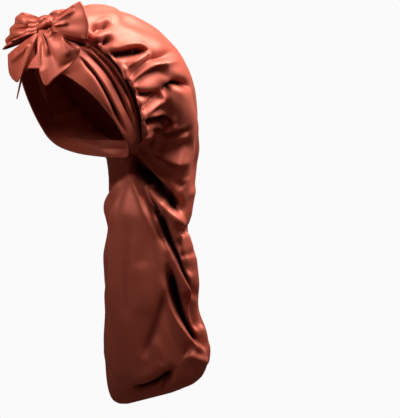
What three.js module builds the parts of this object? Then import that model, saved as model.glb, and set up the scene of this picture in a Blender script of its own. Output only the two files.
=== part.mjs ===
// Long satin sleep bonnet with a tie band, in the form that it has when it is worn.
//
// A wide stretch band goes round the head and is tied in a bow on the forehead. A deep satin bag
// is gathered onto the band: it puffs up over the crown and hangs down the back as a long closed
// sack that holds the hair. Millimetres, +Z up. The origin is the middle of the head opening,
// where a head sits. The wearer faces -Y and the wearer's left is +X.
//
// Each piece is one wall of cloth: a grid of points on its face, a second grid under it, and rims.

import * as THREE from "three";

// Cloth thicknesses, and the gap that two pieces keep where they meet
const BAG_CLOTH = 2;
const BAND_CLOTH = 2;
const TIE_CLOTH = 1.6;
const SEWN_GAP = 0.4;

// Point that the head opening is centred on, which the gathers lean away from
const HEAD_CENTRE = { x: 0, y: 6, z: 12 };

// A table whose rows, one for each name, hold the values of the columns in their order
function tableOf(columns, rows) {
  return Object.values(rows).map((values) => {
    return Object.fromEntries(columns.map((column, k) => [column, values[k]]));
  });
}

// The band from the forehead to the nape: its lower edge on the head and its upper, sewn edge
const BAND_STATIONS = [
  { lowX: 0, lowY: -96, lowZ: 47, topX: 0, topY: -54, topZ: 104 },
  { lowX: 20, lowY: -94, lowZ: 46, topX: 18, topY: -53, topZ: 100 },
  { lowX: 39, lowY: -84, lowZ: 39, topX: 38, topY: -48, topZ: 83 },
  { lowX: 51, lowY: -72, lowZ: 28, topX: 55, topY: -38, topZ: 67 },
  { lowX: 60, lowY: -58, lowZ: 15, topX: 66, topY: -26, topZ: 51 },
  { lowX: 66, lowY: -45, lowZ: 1, topX: 73, topY: -16, topZ: 33 },
  { lowX: 70, lowY: -32, lowZ: -14, topX: 77, topY: -6, topZ: 12 },
  { lowX: 71, lowY: -20, lowZ: -29, topX: 78, topY: 2, topZ: -9 },
  { lowX: 70, lowY: -8, lowZ: -43, topX: 75, topY: 9, topZ: -28 },
  { lowX: 62, lowY: 4, lowZ: -54, topX: 67, topY: 18, topZ: -40 },
  { lowX: 45, lowY: 20, lowZ: -62, topX: 47, topY: 36, topZ: -45 },
  { lowX: 23, lowY: 38, lowZ: -66, topX: 24, topY: 52, topZ: -46 },
  { lowX: 0, lowY: 46, lowZ: -67, topX: 0, topY: 60, topZ: -46 },
];

// Radius of the head across the band, which sets how far the band bellies out over it
const HEAD_RADIUS = 100;

// Creases along the band, from the bow back to the ear. A place on the band is an angle round it
// and a share of its width, 0 at the lower edge and 1 at the sewn edge.
const CREASE_COLUMNS = ["height", "reach", "angle1", "width1", "angle2", "width2", "angle3", "width3"];
const BAND_CREASES = tableOf(CREASE_COLUMNS, {
  "middle crease": [-2.6, 3.6, 22, 0.5, 60, 0.48, 122, 0.4],
  "upper crease": [-3.2, 4.2, 20, 0.72, 62, 0.68, 126, 0.62],
  "soft pleat": [1.6, 3.2, 26, 0.62, 62, 0.58, 118, 0.52],
  "seam crease": [-2.4, 3, 24, 0.86, 70, 0.84, 112, 0.8],
  "lower swell": [1.2, 5, 20, 0.3, 64, 0.26, 110, 0.2],
});

// The gathered lip of the bag over the sewn edge: out from the head, and on past the band
const LIPS = [
  { out: 0, on: SEWN_GAP },
  { out: 9, on: -3 },
  { out: 17, on: 7 },
];

// The bag, cut across from the crown to the bottom seam. Each cut is an oval from a point on its
// back to a point by the neck, with its half width, and the rise of its left side.
const BAG_SECTIONS = [
  { backY: -30, backZ: 121, neckY: 72, neckZ: -53, half: 93, rise: 0 },
  { backY: 5, backZ: 123, neckY: 76, neckZ: -59, half: 98, rise: 0 },
  { backY: 43, backZ: 116, neckY: 78, neckZ: -66, half: 99, rise: 0 },
  { backY: 78, backZ: 99, neckY: 79, neckZ: -73, half: 95, rise: 0 },
  { backY: 107, backZ: 72, neckY: 79, neckZ: -80, half: 89, rise: 0 },
  { backY: 127, backZ: 40, neckY: 78, neckZ: -87, half: 83, rise: 0 },
  { backY: 141, backZ: 5, neckY: 76, neckZ: -94, half: 78, rise: 0 },
  { backY: 149, backZ: -32, neckY: 73, neckZ: -101, half: 75, rise: 0 },
  { backY: 148, backZ: -64, neckY: 69, neckZ: -109, half: 71, rise: 0 },
  { backY: 141, backZ: -95, neckY: 64, neckZ: -121, half: 68, rise: 0 },
  { backY: 137, backZ: -130, neckY: 59, neckZ: -141, half: 66, rise: 0 },
  { backY: 137, backZ: -160, neckY: 60, neckZ: -165, half: 63, rise: 0 },
  { backY: 144, backZ: -190, neckY: 61, neckZ: -193, half: 71, rise: 0 },
  { backY: 147, backZ: -225, neckY: 62, neckZ: -228, half: 74, rise: 0 },
  { backY: 147, backZ: -258, neckY: 63, neckZ: -264, half: 73, rise: 2 },
  { backY: 157, backZ: -290, neckY: 66, neckZ: -300, half: 81, rise: 4 },
  { backY: 158, backZ: -318, neckY: 70, neckZ: -332, half: 82, rise: 7 },
  { backY: 144, backZ: -343, neckY: 78, neckZ: -353, half: 80, rise: 10 },
  { backY: 124, backZ: -359, neckY: 88, neckZ: -365, half: 72, rise: 12 },
  { backY: 109, backZ: -367, neckY: 96, neckZ: -370, half: 58, rise: 12 },
  { backY: 104, backZ: -371, neckY: 99, neckZ: -372, half: 40, rise: 9 },
];
const BAG_END = LIPS.length + BAG_SECTIONS.length - 1;
const BAG_INSIDE_END = BAG_END - 1.4;

// Folds of the bag. A place on the bag is an angle round it, 0 at the middle of the back and 90 at
// the wearer's left, and a row of the two tables above, counted on from the sewn edge. Each fold
// runs through three places. A ridge has a positive height and a valley a negative one.
const FOLD_COLUMNS = ["height", "reach", "angle1", "row1", "angle2", "row2", "angle3", "row3"];
const BAG_FOLDS = tableOf(FOLD_COLUMNS, {
  "finger ridge": [6, 6, 37, 1.4, 41, 2.2, 43, 2.8],
  "brow hollow": [-7, 8, 37, 2.1, 38, 2.5, 38, 3.0],
  "black cleft": [-8, 6, 40, 1.3, 44, 2.0, 46, 2.6],
  "temple puff": [7, 13, 48, 2.2, 54, 2.3, 60, 2.2],
  "eye hollow": [-13, 11, 58, 1.3, 63, 2.5, 67, 3.8],
  "hook ridge": [9, 6, 67, 3.8, 70, 2.4, 75, 1.2],
  "brow ridge": [7, 8, 79, 1.4, 79, 2.8, 77, 4.3],
  "long crown valley": [-7, 7, 75, 1.7, 72, 3.2, 59, 5.5],
  "short valley": [-6, 6, 84, 2.3, 85, 3.0, 82, 4.0],
  "side valley": [-10, 7, 101, 2.5, 95, 3.9, 87, 5.9],
  "ear valley": [-6, 6, 84, 1.3, 91, 2.1, 105, 3.1],
  "swirl ridge": [6, 6, 96, 1.5, 99, 2.3, 99, 3.0],
  "ear pocket": [-9, 8, 103, 2.0, 115, 2.7, 121, 4.1],
  "pocket rim": [7, 6, 110, 2.0, 126, 2.9, 128, 4.6],
  "nape sheen": [5, 13, 148, 5.5, 129, 7.6, 104, 9.4],
  "side drape": [7, 9, 130, 3.4, 147, 6.8, 100, 10.8],
  "upper drape": [8, 8, 162, 5.0, 148, 9.6, 78, 12.7],
  "upper trough": [-9, 8, 168, 6.0, 155, 10.3, 70, 13.2],
  "great drape": [11, 9, 168, 9.0, 151, 11.8, 75, 13.9],
  "great trough": [-10, 9, 166, 10.4, 141, 13.0, 96, 15.4],
  "neck ridge": [5, 7, 180, 9.4, 166, 12.4, 146, 15.0],
  "long thin ridge": [9, 7, 166, 11.4, 134, 14.7, 66, 17.6],
  "long trough": [-8, 9, 140, 15.0, 117, 16.2, 74, 18.2],
  "lower ridge": [8, 7, 134, 15.4, 118, 17.3, 72, 19.0],
  "corner tuck": [-5, 6, 108, 18.4, 116, 18.6, 126, 19.0],
  "hem swell": [4, 9, 186, 20.2, 160, 20.3, 128, 19.4],
  "crown dimple": [-3, 14, 30, 3.6, 42, 4.3, 50, 5.8],
  "back swell": [5, 13, 14, 6.0, 18, 10.0, 34, 14.0],
  "back trough": [-6, 11, 40, 9.0, 38, 12.6, 22, 17.0],
});
const RIGHT_SIDE_SHARE = 0.85;
const FOLD_STEPS = 8;
const FOLD_TAPER = 0.22;
const FOLD_SHARPNESS = 1.8;
// The facets are too wide for a narrow crest, so a fold is spread to at least this reach
const LEAST_REACH = 11;

// Even gathers: along the sewn edge, where they fade over the crown, and down the hanging bag
const GATHERS = { count: 16, height: 4, firstRow: 0.3, fullRow: 1.4, fadeRow: 2.4, lastRow: 6 };
const PLEATS = { count: 7, height: 3, firstRow: 8, fullRow: 11, fadeRow: 17, lastRow: 21 };
const GATHER_WANDER = 0.9;

// The bow: its knot, and its loops and tails, which all start at the knot
const KNOT = { x: 3, y: -79, z: 100.1, halfWidth: 13, halfHeight: 11.5, halfDepth: 14.6, squareness: 0.85 };
const KNOT_TILT = 36.5;
const KNOT_WRAP_DEPTH = 1.4;

// A loop goes out from its root by the knot to a bend and back. It fans from the root's half
// height to the bend between a top and a bottom point, and bellies before and behind.
const LOOPS = [
  {
    name: "bow_loop_left",
    rootX: 17.6, rootY: -80, rootZ: 101, rootHalf: 8,
    topX: 56, topY: -75, topZ: 129, bottomX: 62, bottomY: -70, bottomZ: 83,
    swell: 0.12, belly: 10, rootBelly: 3, flutes: 2.5, fluteHeight: 2,
  },
  {
    name: "bow_loop_right",
    rootX: -11.6, rootY: -80, rootZ: 99, rootHalf: 8,
    topX: -50, topY: -74, topZ: 115, bottomX: -74, bottomY: -79, bottomZ: 69,
    swell: 0.08, belly: 10, rootBelly: 3, flutes: 3.5, fluteHeight: 2.4,
  },
];

// A tail is a fan of ribs from the knot to the cut end. Each rib belongs to one tail and bellies
// out by its lift.
const TAIL_RIBS = {
  bow_tail_left: [
    { rootX: -3.3, rootY: -86.9, rootZ: 93.2, endX: 15.1, endY: -101.4, endZ: 33.8, lift: 2 },
    { rootX: -1.2, rootY: -88.3, rootZ: 93.7, endX: 17.8, endY: -99.8, endZ: 27.5, lift: 6 },
    { rootX: 1.2, rootY: -88.9, rootZ: 94, endX: 22.1, endY: -96.9, endZ: 25.6, lift: 7 },
    { rootX: 4.8, rootY: -89, rootZ: 94.2, endX: 28.7, endY: -94.2, endZ: 32.5, lift: 3 },
    { rootX: 8.3, rootY: -88.7, rootZ: 94.1, endX: 36.1, endY: -89.6, endZ: 39.4, lift: 1 },
    { rootX: 11.8, rootY: -87.9, rootZ: 93.5, endX: 44, endY: -84, endZ: 47.2, lift: 6 },
    { rootX: 14.3, rootY: -86.6, rootZ: 92.8, endX: 50.7, endY: -79, endZ: 56.2, lift: 6 },
    { rootX: 16.5, rootY: -85, rootZ: 91.7, endX: 54.7, endY: -75, endZ: 66.2, lift: 1 },
    { rootX: 18.2, rootY: -83.8, rootZ: 90.9, endX: 54.6, endY: -73.2, endZ: 73.1, lift: -1 },
    { rootX: 19, rootY: -83.2, rootZ: 90.2, endX: 50.1, endY: -75.4, endZ: 77.4, lift: 3 },
  ],
  bow_tail_right: [
    { rootX: -11, rootY: -84, rootZ: 88.8, endX: -58, endY: -88, endZ: 54, lift: 3 },
    { rootX: -9.5, rootY: -87, rootZ: 89.5, endX: -50, endY: -93, endZ: 40, lift: 5 },
    { rootX: -8, rootY: -87.5, rootZ: 90, endX: -35, endY: -95, endZ: 29, lift: 4 },
    { rootX: -6, rootY: -87, rootZ: 90, endX: -24, endY: -101, endZ: 34, lift: 2 },
    { rootX: -4.5, rootY: -86, rootZ: 90, endX: -42, endY: -98, endZ: 9, lift: 4 },
  ],
};

// Grid steps of the faceted walls
const GRID = {
  bagAround: 64, bagLip: 5, bagLength: 29,
  bandAround: 44, bandAcross: 6,
  loopAround: 12, loopAcross: 6,
  tailAlong: 6, tailAcross: 10,
  knotAround: 14, knotAcross: 9,
};

// Satin colours: the crown and bag, and the slightly darker stretch band and tie
const BAG_FINISH = { color: 0xa34c3a, roughness: 0.36, metalness: 0 };
const BAND_FINISH = { color: 0x98442f, roughness: 0.42, metalness: 0 };

const FULL_TURN = 360;
const BAND_RING = 2 * (BAND_STATIONS.length - 1);

function radians(degrees) {
  return (degrees * Math.PI) / 180;
}

function smoothStep(start, end, value) {
  const t = THREE.MathUtils.clamp((value - start) / (end - start), 0, 1);
  return t * t * (3 - 2 * t);
}

// Smooth curve through b and c, with a and d as their neighbours
function throughFour(a, b, c, d, t) {
  const point = new THREE.Vector3();
  for (const axis of ["x", "y", "z"]) {
    const bend = c[axis] - a[axis] + (2 * a[axis] - 5 * b[axis] + 4 * c[axis] - d[axis]) * t
      + (3 * b[axis] - a[axis] - 3 * c[axis] + d[axis]) * t * t;
    point[axis] = b[axis] + 0.5 * t * bend;
  }
  return point;
}

// Curve through three places given as pairs, at t from 0 to 1
function throughThree(first, middle, last, t) {
  const fromFirst = (1 - t) * (1 - 2 * t);
  const fromMiddle = 4 * t * (1 - t);
  const fromLast = t * (2 * t - 1);
  return first.map((value, k) => fromFirst * value + fromMiddle * middle[k] + fromLast * last[k]);
}

// One edge of the band, "low" or "top", at a station of the ring; the right side mirrors the left
function stationPoint(edge, index) {
  const place = THREE.MathUtils.euclideanModulo(index, BAND_RING);
  const mirrored = place > BAND_RING / 2;
  const row = BAND_STATIONS[mirrored ? BAND_RING - place : place];
  const side = mirrored ? -1 : 1;
  return new THREE.Vector3(side * row[`${edge}X`], row[`${edge}Y`], row[`${edge}Z`]);
}

function bandEdge(edge, angle) {
  const place = (angle / FULL_TURN) * BAND_RING;
  const index = Math.floor(place);
  const [a, b, c, d] = [-1, 0, 1, 2].map((step) => stationPoint(edge, index + step));
  return throughFour(a, b, c, d, place - index);
}

// Directions at the sewn edge: on across the band, and out from the head
function bandDirections(angle) {
  const low = bandEdge("low", angle);
  const top = bandEdge("top", angle);
  const on = top.clone().sub(low).normalize();
  const away = top.clone().sub(new THREE.Vector3(HEAD_CENTRE.x, HEAD_CENTRE.y, HEAD_CENTRE.z));
  const out = away.addScaledVector(on, -away.dot(on)).normalize();
  return { low, top, on, out };
}

// Height of a fold at a place, from how near its path the place lies
function foldHeight(fold, path, point, leastReach) {
  let best = Infinity;
  let along = 0;
  const segment = new THREE.Line3();
  const nearest = new THREE.Vector3();
  for (let k = 1; k < path.length; k += 1) {
    segment.set(path[k - 1], path[k]);
    const t = segment.closestPointToPointParameter(point, true);
    segment.at(t, nearest);
    const distance = nearest.distanceTo(point);
    if (distance < best) {
      best = distance;
      along = (k - 1 + t) / (path.length - 1);
    }
  }
  const taper = smoothStep(0, FOLD_TAPER, along) * smoothStep(0, FOLD_TAPER, 1 - along);
  const reach = Math.hypot(fold.reach, leastReach);
  return fold.height * taper * Math.exp(-((best / reach) ** FOLD_SHARPNESS));
}

// Paths of a table of folds on a surface, at steps between their first and last place
function foldPaths(folds, columns, surface) {
  return folds.map((fold) => {
    const places = [1, 2, 3].map((k) => columns.map((column) => fold[`${column}${k}`]));
    const path = [];
    for (let k = 0; k <= FOLD_STEPS; k += 1) {
      path.push(surface(...throughThree(...places, k / FOLD_STEPS)));
    }
    return path;
  });
}

// The direction that a surface faces at a place, from small steps to each side
function facing(surface, across, along, acrossStep, alongStep) {
  const before = surface(across - acrossStep, along);
  const after = surface(across + acrossStep, along);
  const above = surface(across, along - alongStep);
  const below = surface(across, along + alongStep);
  return after.sub(before).cross(below.sub(above)).normalize();
}

// The band without its creases, at an angle and a share of its width
function bandSurface(angle, share) {
  const { low, top, out } = bandDirections(angle);
  const width = low.distanceTo(top);
  const belly = (width * width * share * (1 - share) * 4) / (8 * HEAD_RADIUS);
  return low.lerp(top, share).addScaledVector(out, belly);
}

// The bag's face without its folds, at an angle and a row of the two tables
function bagCut(row, angle) {
  const turn = radians(angle);
  if (row < LIPS.length) {
    const { top, on, out } = bandDirections(angle);
    const room = 0.65 + 0.35 * Math.cos(turn);
    const lip = LIPS[row];
    const past = row > 0 ? lip.on * room : lip.on;
    return top.addScaledVector(out, lip.out * room).addScaledVector(on, past);
  }
  const cut = BAG_SECTIONS[row - LIPS.length];
  const share = (1 + Math.cos(turn)) / 2;
  return new THREE.Vector3(
    cut.half * Math.sin(turn),
    THREE.MathUtils.lerp(cut.neckY, cut.backY, share),
    THREE.MathUtils.lerp(cut.neckZ, cut.backZ, share) + cut.rise * Math.sin(turn),
  );
}

function bagSurface(angle, row) {
  const index = THREE.MathUtils.clamp(Math.floor(row), 0, BAG_END - 1);
  const rows = [-1, 0, 1, 2].map((step) => THREE.MathUtils.clamp(index + step, 0, BAG_END));
  const [a, b, c, d] = rows.map((k) => bagCut(k, angle));
  return throughFour(a, b, c, d, row - index);
}

const bagPaths = foldPaths(BAG_FOLDS, ["angle", "row"], bagSurface);

// Soft waves round the bag whose spacing wanders, between the rows that a table names
function evenWaves(waves, angle, row) {
  const grown = smoothStep(waves.firstRow, waves.fullRow, row);
  const shown = grown * (1 - smoothStep(waves.fadeRow, waves.lastRow, row));
  const turn = radians(angle);
  const wander = GATHER_WANDER * (Math.sin(3 * turn + 1) + Math.sin(5 * turn - 0.4 * row));
  return waves.height * shown * Math.sin(waves.count * turn + wander);
}

function bagRelief(angle, row) {
  const point = bagSurface(angle, row);
  const mirrored = new THREE.Vector3(-point.x, point.y, point.z);
  let height = evenWaves(GATHERS, angle, row) + evenWaves(PLEATS, angle, row);
  BAG_FOLDS.forEach((fold, k) => {
    height += foldHeight(fold, bagPaths[k], point, LEAST_REACH);
    height += RIGHT_SIDE_SHARE * foldHeight(fold, bagPaths[k], mirrored, LEAST_REACH);
  });
  return height * smoothStep(0, 1.2, row) * smoothStep(0, 2.4, BAG_END - row);
}

const creasePaths = foldPaths(BAND_CREASES, ["angle", "width"], bandSurface);

function bandRelief(angle, share) {
  const point = bandSurface(angle, share);
  const mirrored = new THREE.Vector3(-point.x, point.y, point.z);
  let height = 0;
  BAND_CREASES.forEach((crease, k) => {
    height += foldHeight(crease, creasePaths[k], point, 0);
    height += foldHeight(crease, creasePaths[k], mirrored, 0);
  });
  return height * smoothStep(0, 0.08, share) * smoothStep(0, 0.08, 1 - share);
}

// A solid wall from two grids of points, given row by row. Each grid is closed round or has two
// side rims; its first row has a rim, and its last row has one too or is closed by a fan. A cell
// is split along its shorter diagonal, so that the facets follow the folds.
function wall(face, back, { round, closedEnd }) {
  const positions = [];
  const triangles = [];
  const columns = face[0].length;
  const lastRow = face.length - 1;
  const spans = round ? columns : columns - 1;
  [face, back].forEach((grid) => grid.forEach((row) => row.forEach((p) => positions.push(p.x, p.y, p.z))));
  const faceIndex = (row, column) => row * columns + (column % columns);
  const backIndex = (row, column) => face.length * columns + faceIndex(row, column);
  const quad = (a, b, c, d) => triangles.push(a, b, c, a, c, d);
  const cellOf = (index, row, k) => {
    return [index(row, k), index(row, k + 1), index(row + 1, k + 1), index(row + 1, k)];
  };
  for (let row = 0; row < lastRow; row += 1) {
    for (let k = 0; k < spans; k += 1) {
      const next = (k + 1) % columns;
      const falling = face[row][k].distanceTo(face[row + 1][next]);
      const rising = face[row][next].distanceTo(face[row + 1][k]);
      const faceCell = cellOf(faceIndex, row, k);
      const backCell = cellOf(backIndex, row, k);
      if (falling < rising) {
        quad(...faceCell);
        quad(backCell[0], backCell[3], backCell[2], backCell[1]);
      } else {
        quad(faceCell[1], faceCell[2], faceCell[3], faceCell[0]);
        quad(backCell[1], backCell[0], backCell[3], backCell[2]);
      }
    }
    if (!round) {
      quad(faceIndex(row, 0), faceIndex(row + 1, 0), backIndex(row + 1, 0), backIndex(row, 0));
      quad(faceIndex(row, spans), backIndex(row, spans), backIndex(row + 1, spans), faceIndex(row + 1, spans));
    }
  }
  for (let k = 0; k < spans; k += 1) {
    quad(faceIndex(0, k), backIndex(0, k), backIndex(0, k + 1), faceIndex(0, k + 1));
    if (!closedEnd) {
      quad(faceIndex(lastRow, k), faceIndex(lastRow, k + 1), backIndex(lastRow, k + 1), backIndex(lastRow, k));
    }
  }
  if (closedEnd) {
    [[face, faceIndex, false], [back, backIndex, true]].forEach(([grid, index, flipped]) => {
      const middle = new THREE.Vector3();
      grid[lastRow].forEach((p) => middle.addScaledVector(p, 1 / columns));
      const pole = positions.length / 3;
      positions.push(middle.x, middle.y, middle.z);
      for (let k = 0; k < columns; k += 1) {
        const pair = flipped ? [k + 1, k] : [k, k + 1];
        triangles.push(index(lastRow, pair[0]), index(lastRow, pair[1]), pole);
      }
    });
  }
  const geometry = new THREE.BufferGeometry();
  geometry.setAttribute("position", new THREE.Float32BufferAttribute(positions, 3));
  geometry.setIndex(triangles);
  geometry.computeVertexNormals();
  return geometry;
}

// Points of one face of a piece, row by row
function gridOf(rows, columns, place) {
  return rows.map((row) => columns.map((column) => place(column, row)));
}

function evenSteps(start, end, count) {
  return Array.from({ length: count + 1 }, (_, k) => THREE.MathUtils.lerp(start, end, k / count));
}

function named(name, geometry, finish) {
  const material = new THREE.MeshStandardMaterial({ ...finish, side: THREE.FrontSide });
  const mesh = new THREE.Mesh(geometry, material);
  mesh.name = name;
  return mesh;
}

function makeBag() {
  const angles = evenSteps(0, FULL_TURN, GRID.bagAround).slice(0, -1);
  const lipRows = evenSteps(0, LIPS.length, GRID.bagLip).slice(0, -1);
  const rows = [...lipRows, ...evenSteps(LIPS.length, BAG_END, GRID.bagLength)];
  const layer = (depth, end) => gridOf(rows, angles, (angle, row) => {
    const place = row * (end / BAG_END);
    const normal = facing(bagSurface, angle, place, 1, 0.05);
    return bagSurface(angle, place).addScaledVector(normal, bagRelief(angle, place) - depth);
  });
  const cloth = wall(layer(0, BAG_END), layer(BAG_CLOTH, BAG_INSIDE_END), { round: true, closedEnd: true });
  return named("bag", cloth, BAG_FINISH);
}

function makeBand() {
  const angles = evenSteps(0, FULL_TURN, GRID.bandAround).slice(0, -1);
  const shares = evenSteps(0, 1, GRID.bandAcross);
  const layer = (depth) => gridOf(shares, angles, (angle, share) => {
    const { out } = bandDirections(angle);
    return bandSurface(angle, share).addScaledVector(out, bandRelief(angle, share) - depth);
  });
  const cloth = wall(layer(0), layer(BAND_CLOTH), { round: true, closedEnd: false });
  return named("headband", cloth, BAND_FINISH);
}

// A loop's cloth at a share of the way round it and a place across it from -1 to 1
function loopSurface(loop, share, across) {
  const reach = (1 - Math.cos(radians(FULL_TURN * share))) / 2;
  const root = new THREE.Vector3(loop.rootX, loop.rootY, loop.rootZ + across * loop.rootHalf);
  const top = new THREE.Vector3(loop.topX, loop.topY, loop.topZ);
  const bend = new THREE.Vector3(loop.bottomX, loop.bottomY, loop.bottomZ).lerp(top, (across + 1) / 2);
  const swell = 1 + loop.swell * (1 - across * across);
  const front = new THREE.Vector3(0, -1, 0);
  const belly = loop.belly * Math.sin(radians(FULL_TURN * share)) * reach ** 0.35;
  const parted = loop.rootBelly * Math.cos(radians(FULL_TURN * share) / 2);
  const opened = Math.sin(radians((FULL_TURN * share) / 2));
  const flute = loop.fluteHeight * Math.sin(loop.flutes * Math.PI * across) * opened;
  return root.lerp(bend, reach * swell).addScaledVector(front, belly + parted + flute);
}

function makeLoop(loop) {
  const shares = evenSteps(0, 1, GRID.loopAround);
  const acrosses = evenSteps(-1, 1, GRID.loopAcross);
  const outward = loop.rootX > 0 ? 1 : -1;
  const surface = (across, share) => loopSurface(loop, share, outward * across);
  const layer = (depth) => gridOf(shares, acrosses, (across, share) => {
    const normal = facing(surface, across, share, 0.02, 0.01);
    return surface(across, share).addScaledVector(normal, -depth);
  });
  const cloth = wall(layer(0), layer(TIE_CLOTH), { round: false, closedEnd: false });
  return named(loop.name, cloth, BAND_FINISH);
}

// A tail's cloth at a place across its ribs and a share of the way from the knot to the cut end
function tailSurface(ribs, across, share) {
  const last = ribs.length - 1;
  const place = THREE.MathUtils.clamp(across, 0, 1) * last;
  const index = Math.min(Math.floor(place), last - 1);
  const near = [-1, 0, 1, 2].map((step) => ribs[THREE.MathUtils.clamp(index + step, 0, last)]);
  const points = near.map((rib) => {
    const root = new THREE.Vector3(rib.rootX, rib.rootY, rib.rootZ);
    const end = new THREE.Vector3(rib.endX, rib.endY, rib.endZ);
    return root.lerp(end, share).add(new THREE.Vector3(0, -rib.lift * Math.sin(Math.PI * share), 0));
  });
  return throughFour(...points, place - index);
}

function makeTail(name) {
  const ribs = TAIL_RIBS[name];
  const shares = evenSteps(0, 1, GRID.tailAlong);
  const acrosses = evenSteps(0, 1, GRID.tailAcross);
  const surface = (across, share) => tailSurface(ribs, across, share);
  const layer = (depth) => gridOf(shares, acrosses, (across, share) => {
    const inside = THREE.MathUtils.clamp(across, 0.03, 0.97);
    const normal = facing(surface, inside, share, 0.02, 0.02);
    return surface(across, share).addScaledVector(normal, -depth);
  });
  const cloth = wall(layer(0), layer(TIE_CLOTH), { round: false, closedEnd: false });
  return named(name, cloth, BAND_FINISH);
}

function makeKnot() {
  const positions = [];
  const triangles = [];
  const around = GRID.knotAround;
  const across = GRID.knotAcross;
  const rounded = (value) => Math.sign(value) * Math.abs(value) ** KNOT.squareness;
  for (let row = 1; row < across; row += 1) {
    const tilt = Math.PI * (row / across);
    for (let k = 0; k < around; k += 1) {
      const turn = (2 * Math.PI * k) / around;
      const groove = 1 - (KNOT_WRAP_DEPTH / KNOT.halfHeight) * (0.5 + 0.5 * Math.cos(4 * tilt));
      positions.push(
        KNOT.halfWidth * rounded(Math.cos(tilt)),
        -KNOT.halfDepth * groove * rounded(Math.sin(tilt)) * Math.cos(turn),
        KNOT.halfHeight * groove * rounded(Math.sin(tilt)) * Math.sin(turn),
      );
    }
  }
  const rightPole = positions.length / 3;
  positions.push(KNOT.halfWidth, 0, 0, -KNOT.halfWidth, 0, 0);
  for (let k = 0; k < around; k += 1) {
    const next = (k + 1) % around;
    triangles.push(rightPole, next, k);
    for (let row = 0; row < across - 2; row += 1) {
      const here = row * around;
      const below = here + around;
      triangles.push(here + k, here + next, below + next, here + k, below + next, below + k);
    }
    const end = (across - 2) * around;
    triangles.push(end + k, end + next, rightPole + 1);
  }
  const geometry = new THREE.BufferGeometry();
  geometry.setAttribute("position", new THREE.Float32BufferAttribute(positions, 3));
  geometry.setIndex(triangles);
  const mesh = named("bow_knot", geometry, BAND_FINISH);
  mesh.rotation.x = radians(-KNOT_TILT);
  mesh.position.set(KNOT.x, KNOT.y, KNOT.z);
  return mesh;
}

const bonnet = new THREE.Group();
bonnet.add(makeBag());
bonnet.add(makeBand());
bonnet.add(makeKnot());
LOOPS.forEach((loop) => bonnet.add(makeLoop(loop)));
Object.keys(TAIL_RIBS).forEach((name) => bonnet.add(makeTail(name)));

export default bonnet;
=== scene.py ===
# %% [markdown]
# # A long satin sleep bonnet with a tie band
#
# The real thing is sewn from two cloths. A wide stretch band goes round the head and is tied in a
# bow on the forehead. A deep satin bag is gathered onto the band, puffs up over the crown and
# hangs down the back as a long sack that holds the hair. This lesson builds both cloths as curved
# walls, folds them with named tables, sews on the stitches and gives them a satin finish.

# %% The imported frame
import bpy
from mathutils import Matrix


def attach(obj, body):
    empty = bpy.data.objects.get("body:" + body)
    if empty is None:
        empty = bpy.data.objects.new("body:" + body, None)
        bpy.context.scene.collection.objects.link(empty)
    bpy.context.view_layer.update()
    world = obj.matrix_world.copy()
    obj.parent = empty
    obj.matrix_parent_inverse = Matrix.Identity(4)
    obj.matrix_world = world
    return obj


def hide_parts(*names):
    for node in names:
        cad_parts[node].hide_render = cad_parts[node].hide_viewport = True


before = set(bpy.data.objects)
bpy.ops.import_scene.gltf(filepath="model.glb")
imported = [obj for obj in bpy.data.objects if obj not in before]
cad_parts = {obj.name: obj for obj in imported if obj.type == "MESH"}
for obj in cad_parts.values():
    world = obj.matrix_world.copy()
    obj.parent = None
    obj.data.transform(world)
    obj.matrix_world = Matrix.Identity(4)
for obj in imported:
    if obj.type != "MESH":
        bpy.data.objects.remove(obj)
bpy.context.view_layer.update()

import math

import bpy
import numpy as np
from mathutils import Vector

# %% [markdown]
# ## Working in millimetres
#
# The tables below are in millimetres, because that is how cloth is measured and cut. Each mesh is
# turned into metres at the very end. The first helpers are a soft step, which fades a fold in and
# out, and a smooth curve through the rows of a table, which every surface here is drawn with.

# %% Soft steps and smooth curves
MILLIMETRE = 0.001
FULL_TURN = 360.0
MIRROR = np.array((-1.0, 1.0, 1.0))
# A smooth curve between two places is led by these four, counted from the first of the two
NEIGHBOURS = (-1, 0, 1, 2)


def soft_step(start, end, value):
    t = np.clip((value - start) / (end - start), 0.0, 1.0)
    return t * t * (3.0 - 2.0 * t)


def fade_ends(width, share):
    """0 at both ends of a share from 0 to 1, and 1 from this width inwards."""
    return soft_step(0, width, share) * soft_step(0, width, 1 - share)


def ring_angles(count, share_of_points):
    """Even angles round a ring. A share of 2 takes every second one."""
    return np.arange(count // share_of_points) * (FULL_TURN * share_of_points / count)


def unit(vectors):
    return vectors / np.maximum(np.linalg.norm(vectors, axis=-1, keepdims=True), 1e-9)


def dot(a, b):
    return np.sum(a * b, axis=-1, keepdims=True)


def through_four(a, b, c, d, t):
    """Smooth curve through b and c, with a and d as their neighbours."""
    t = t[..., None]
    bend = c - a + (2 * a - 5 * b + 4 * c - d) * t + (3 * b - a - 3 * c + d) * t * t
    return b + 0.5 * t * bend


# %% [markdown]
# ## The shape of the band
#
# The band is measured at thirteen stations from the forehead to the nape. Each station has a point
# on the lower edge, which lies on the head, and one on the upper edge, which the bag is sewn to.
# The right side mirrors the left, so the stations make a ring of twenty-four.

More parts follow.
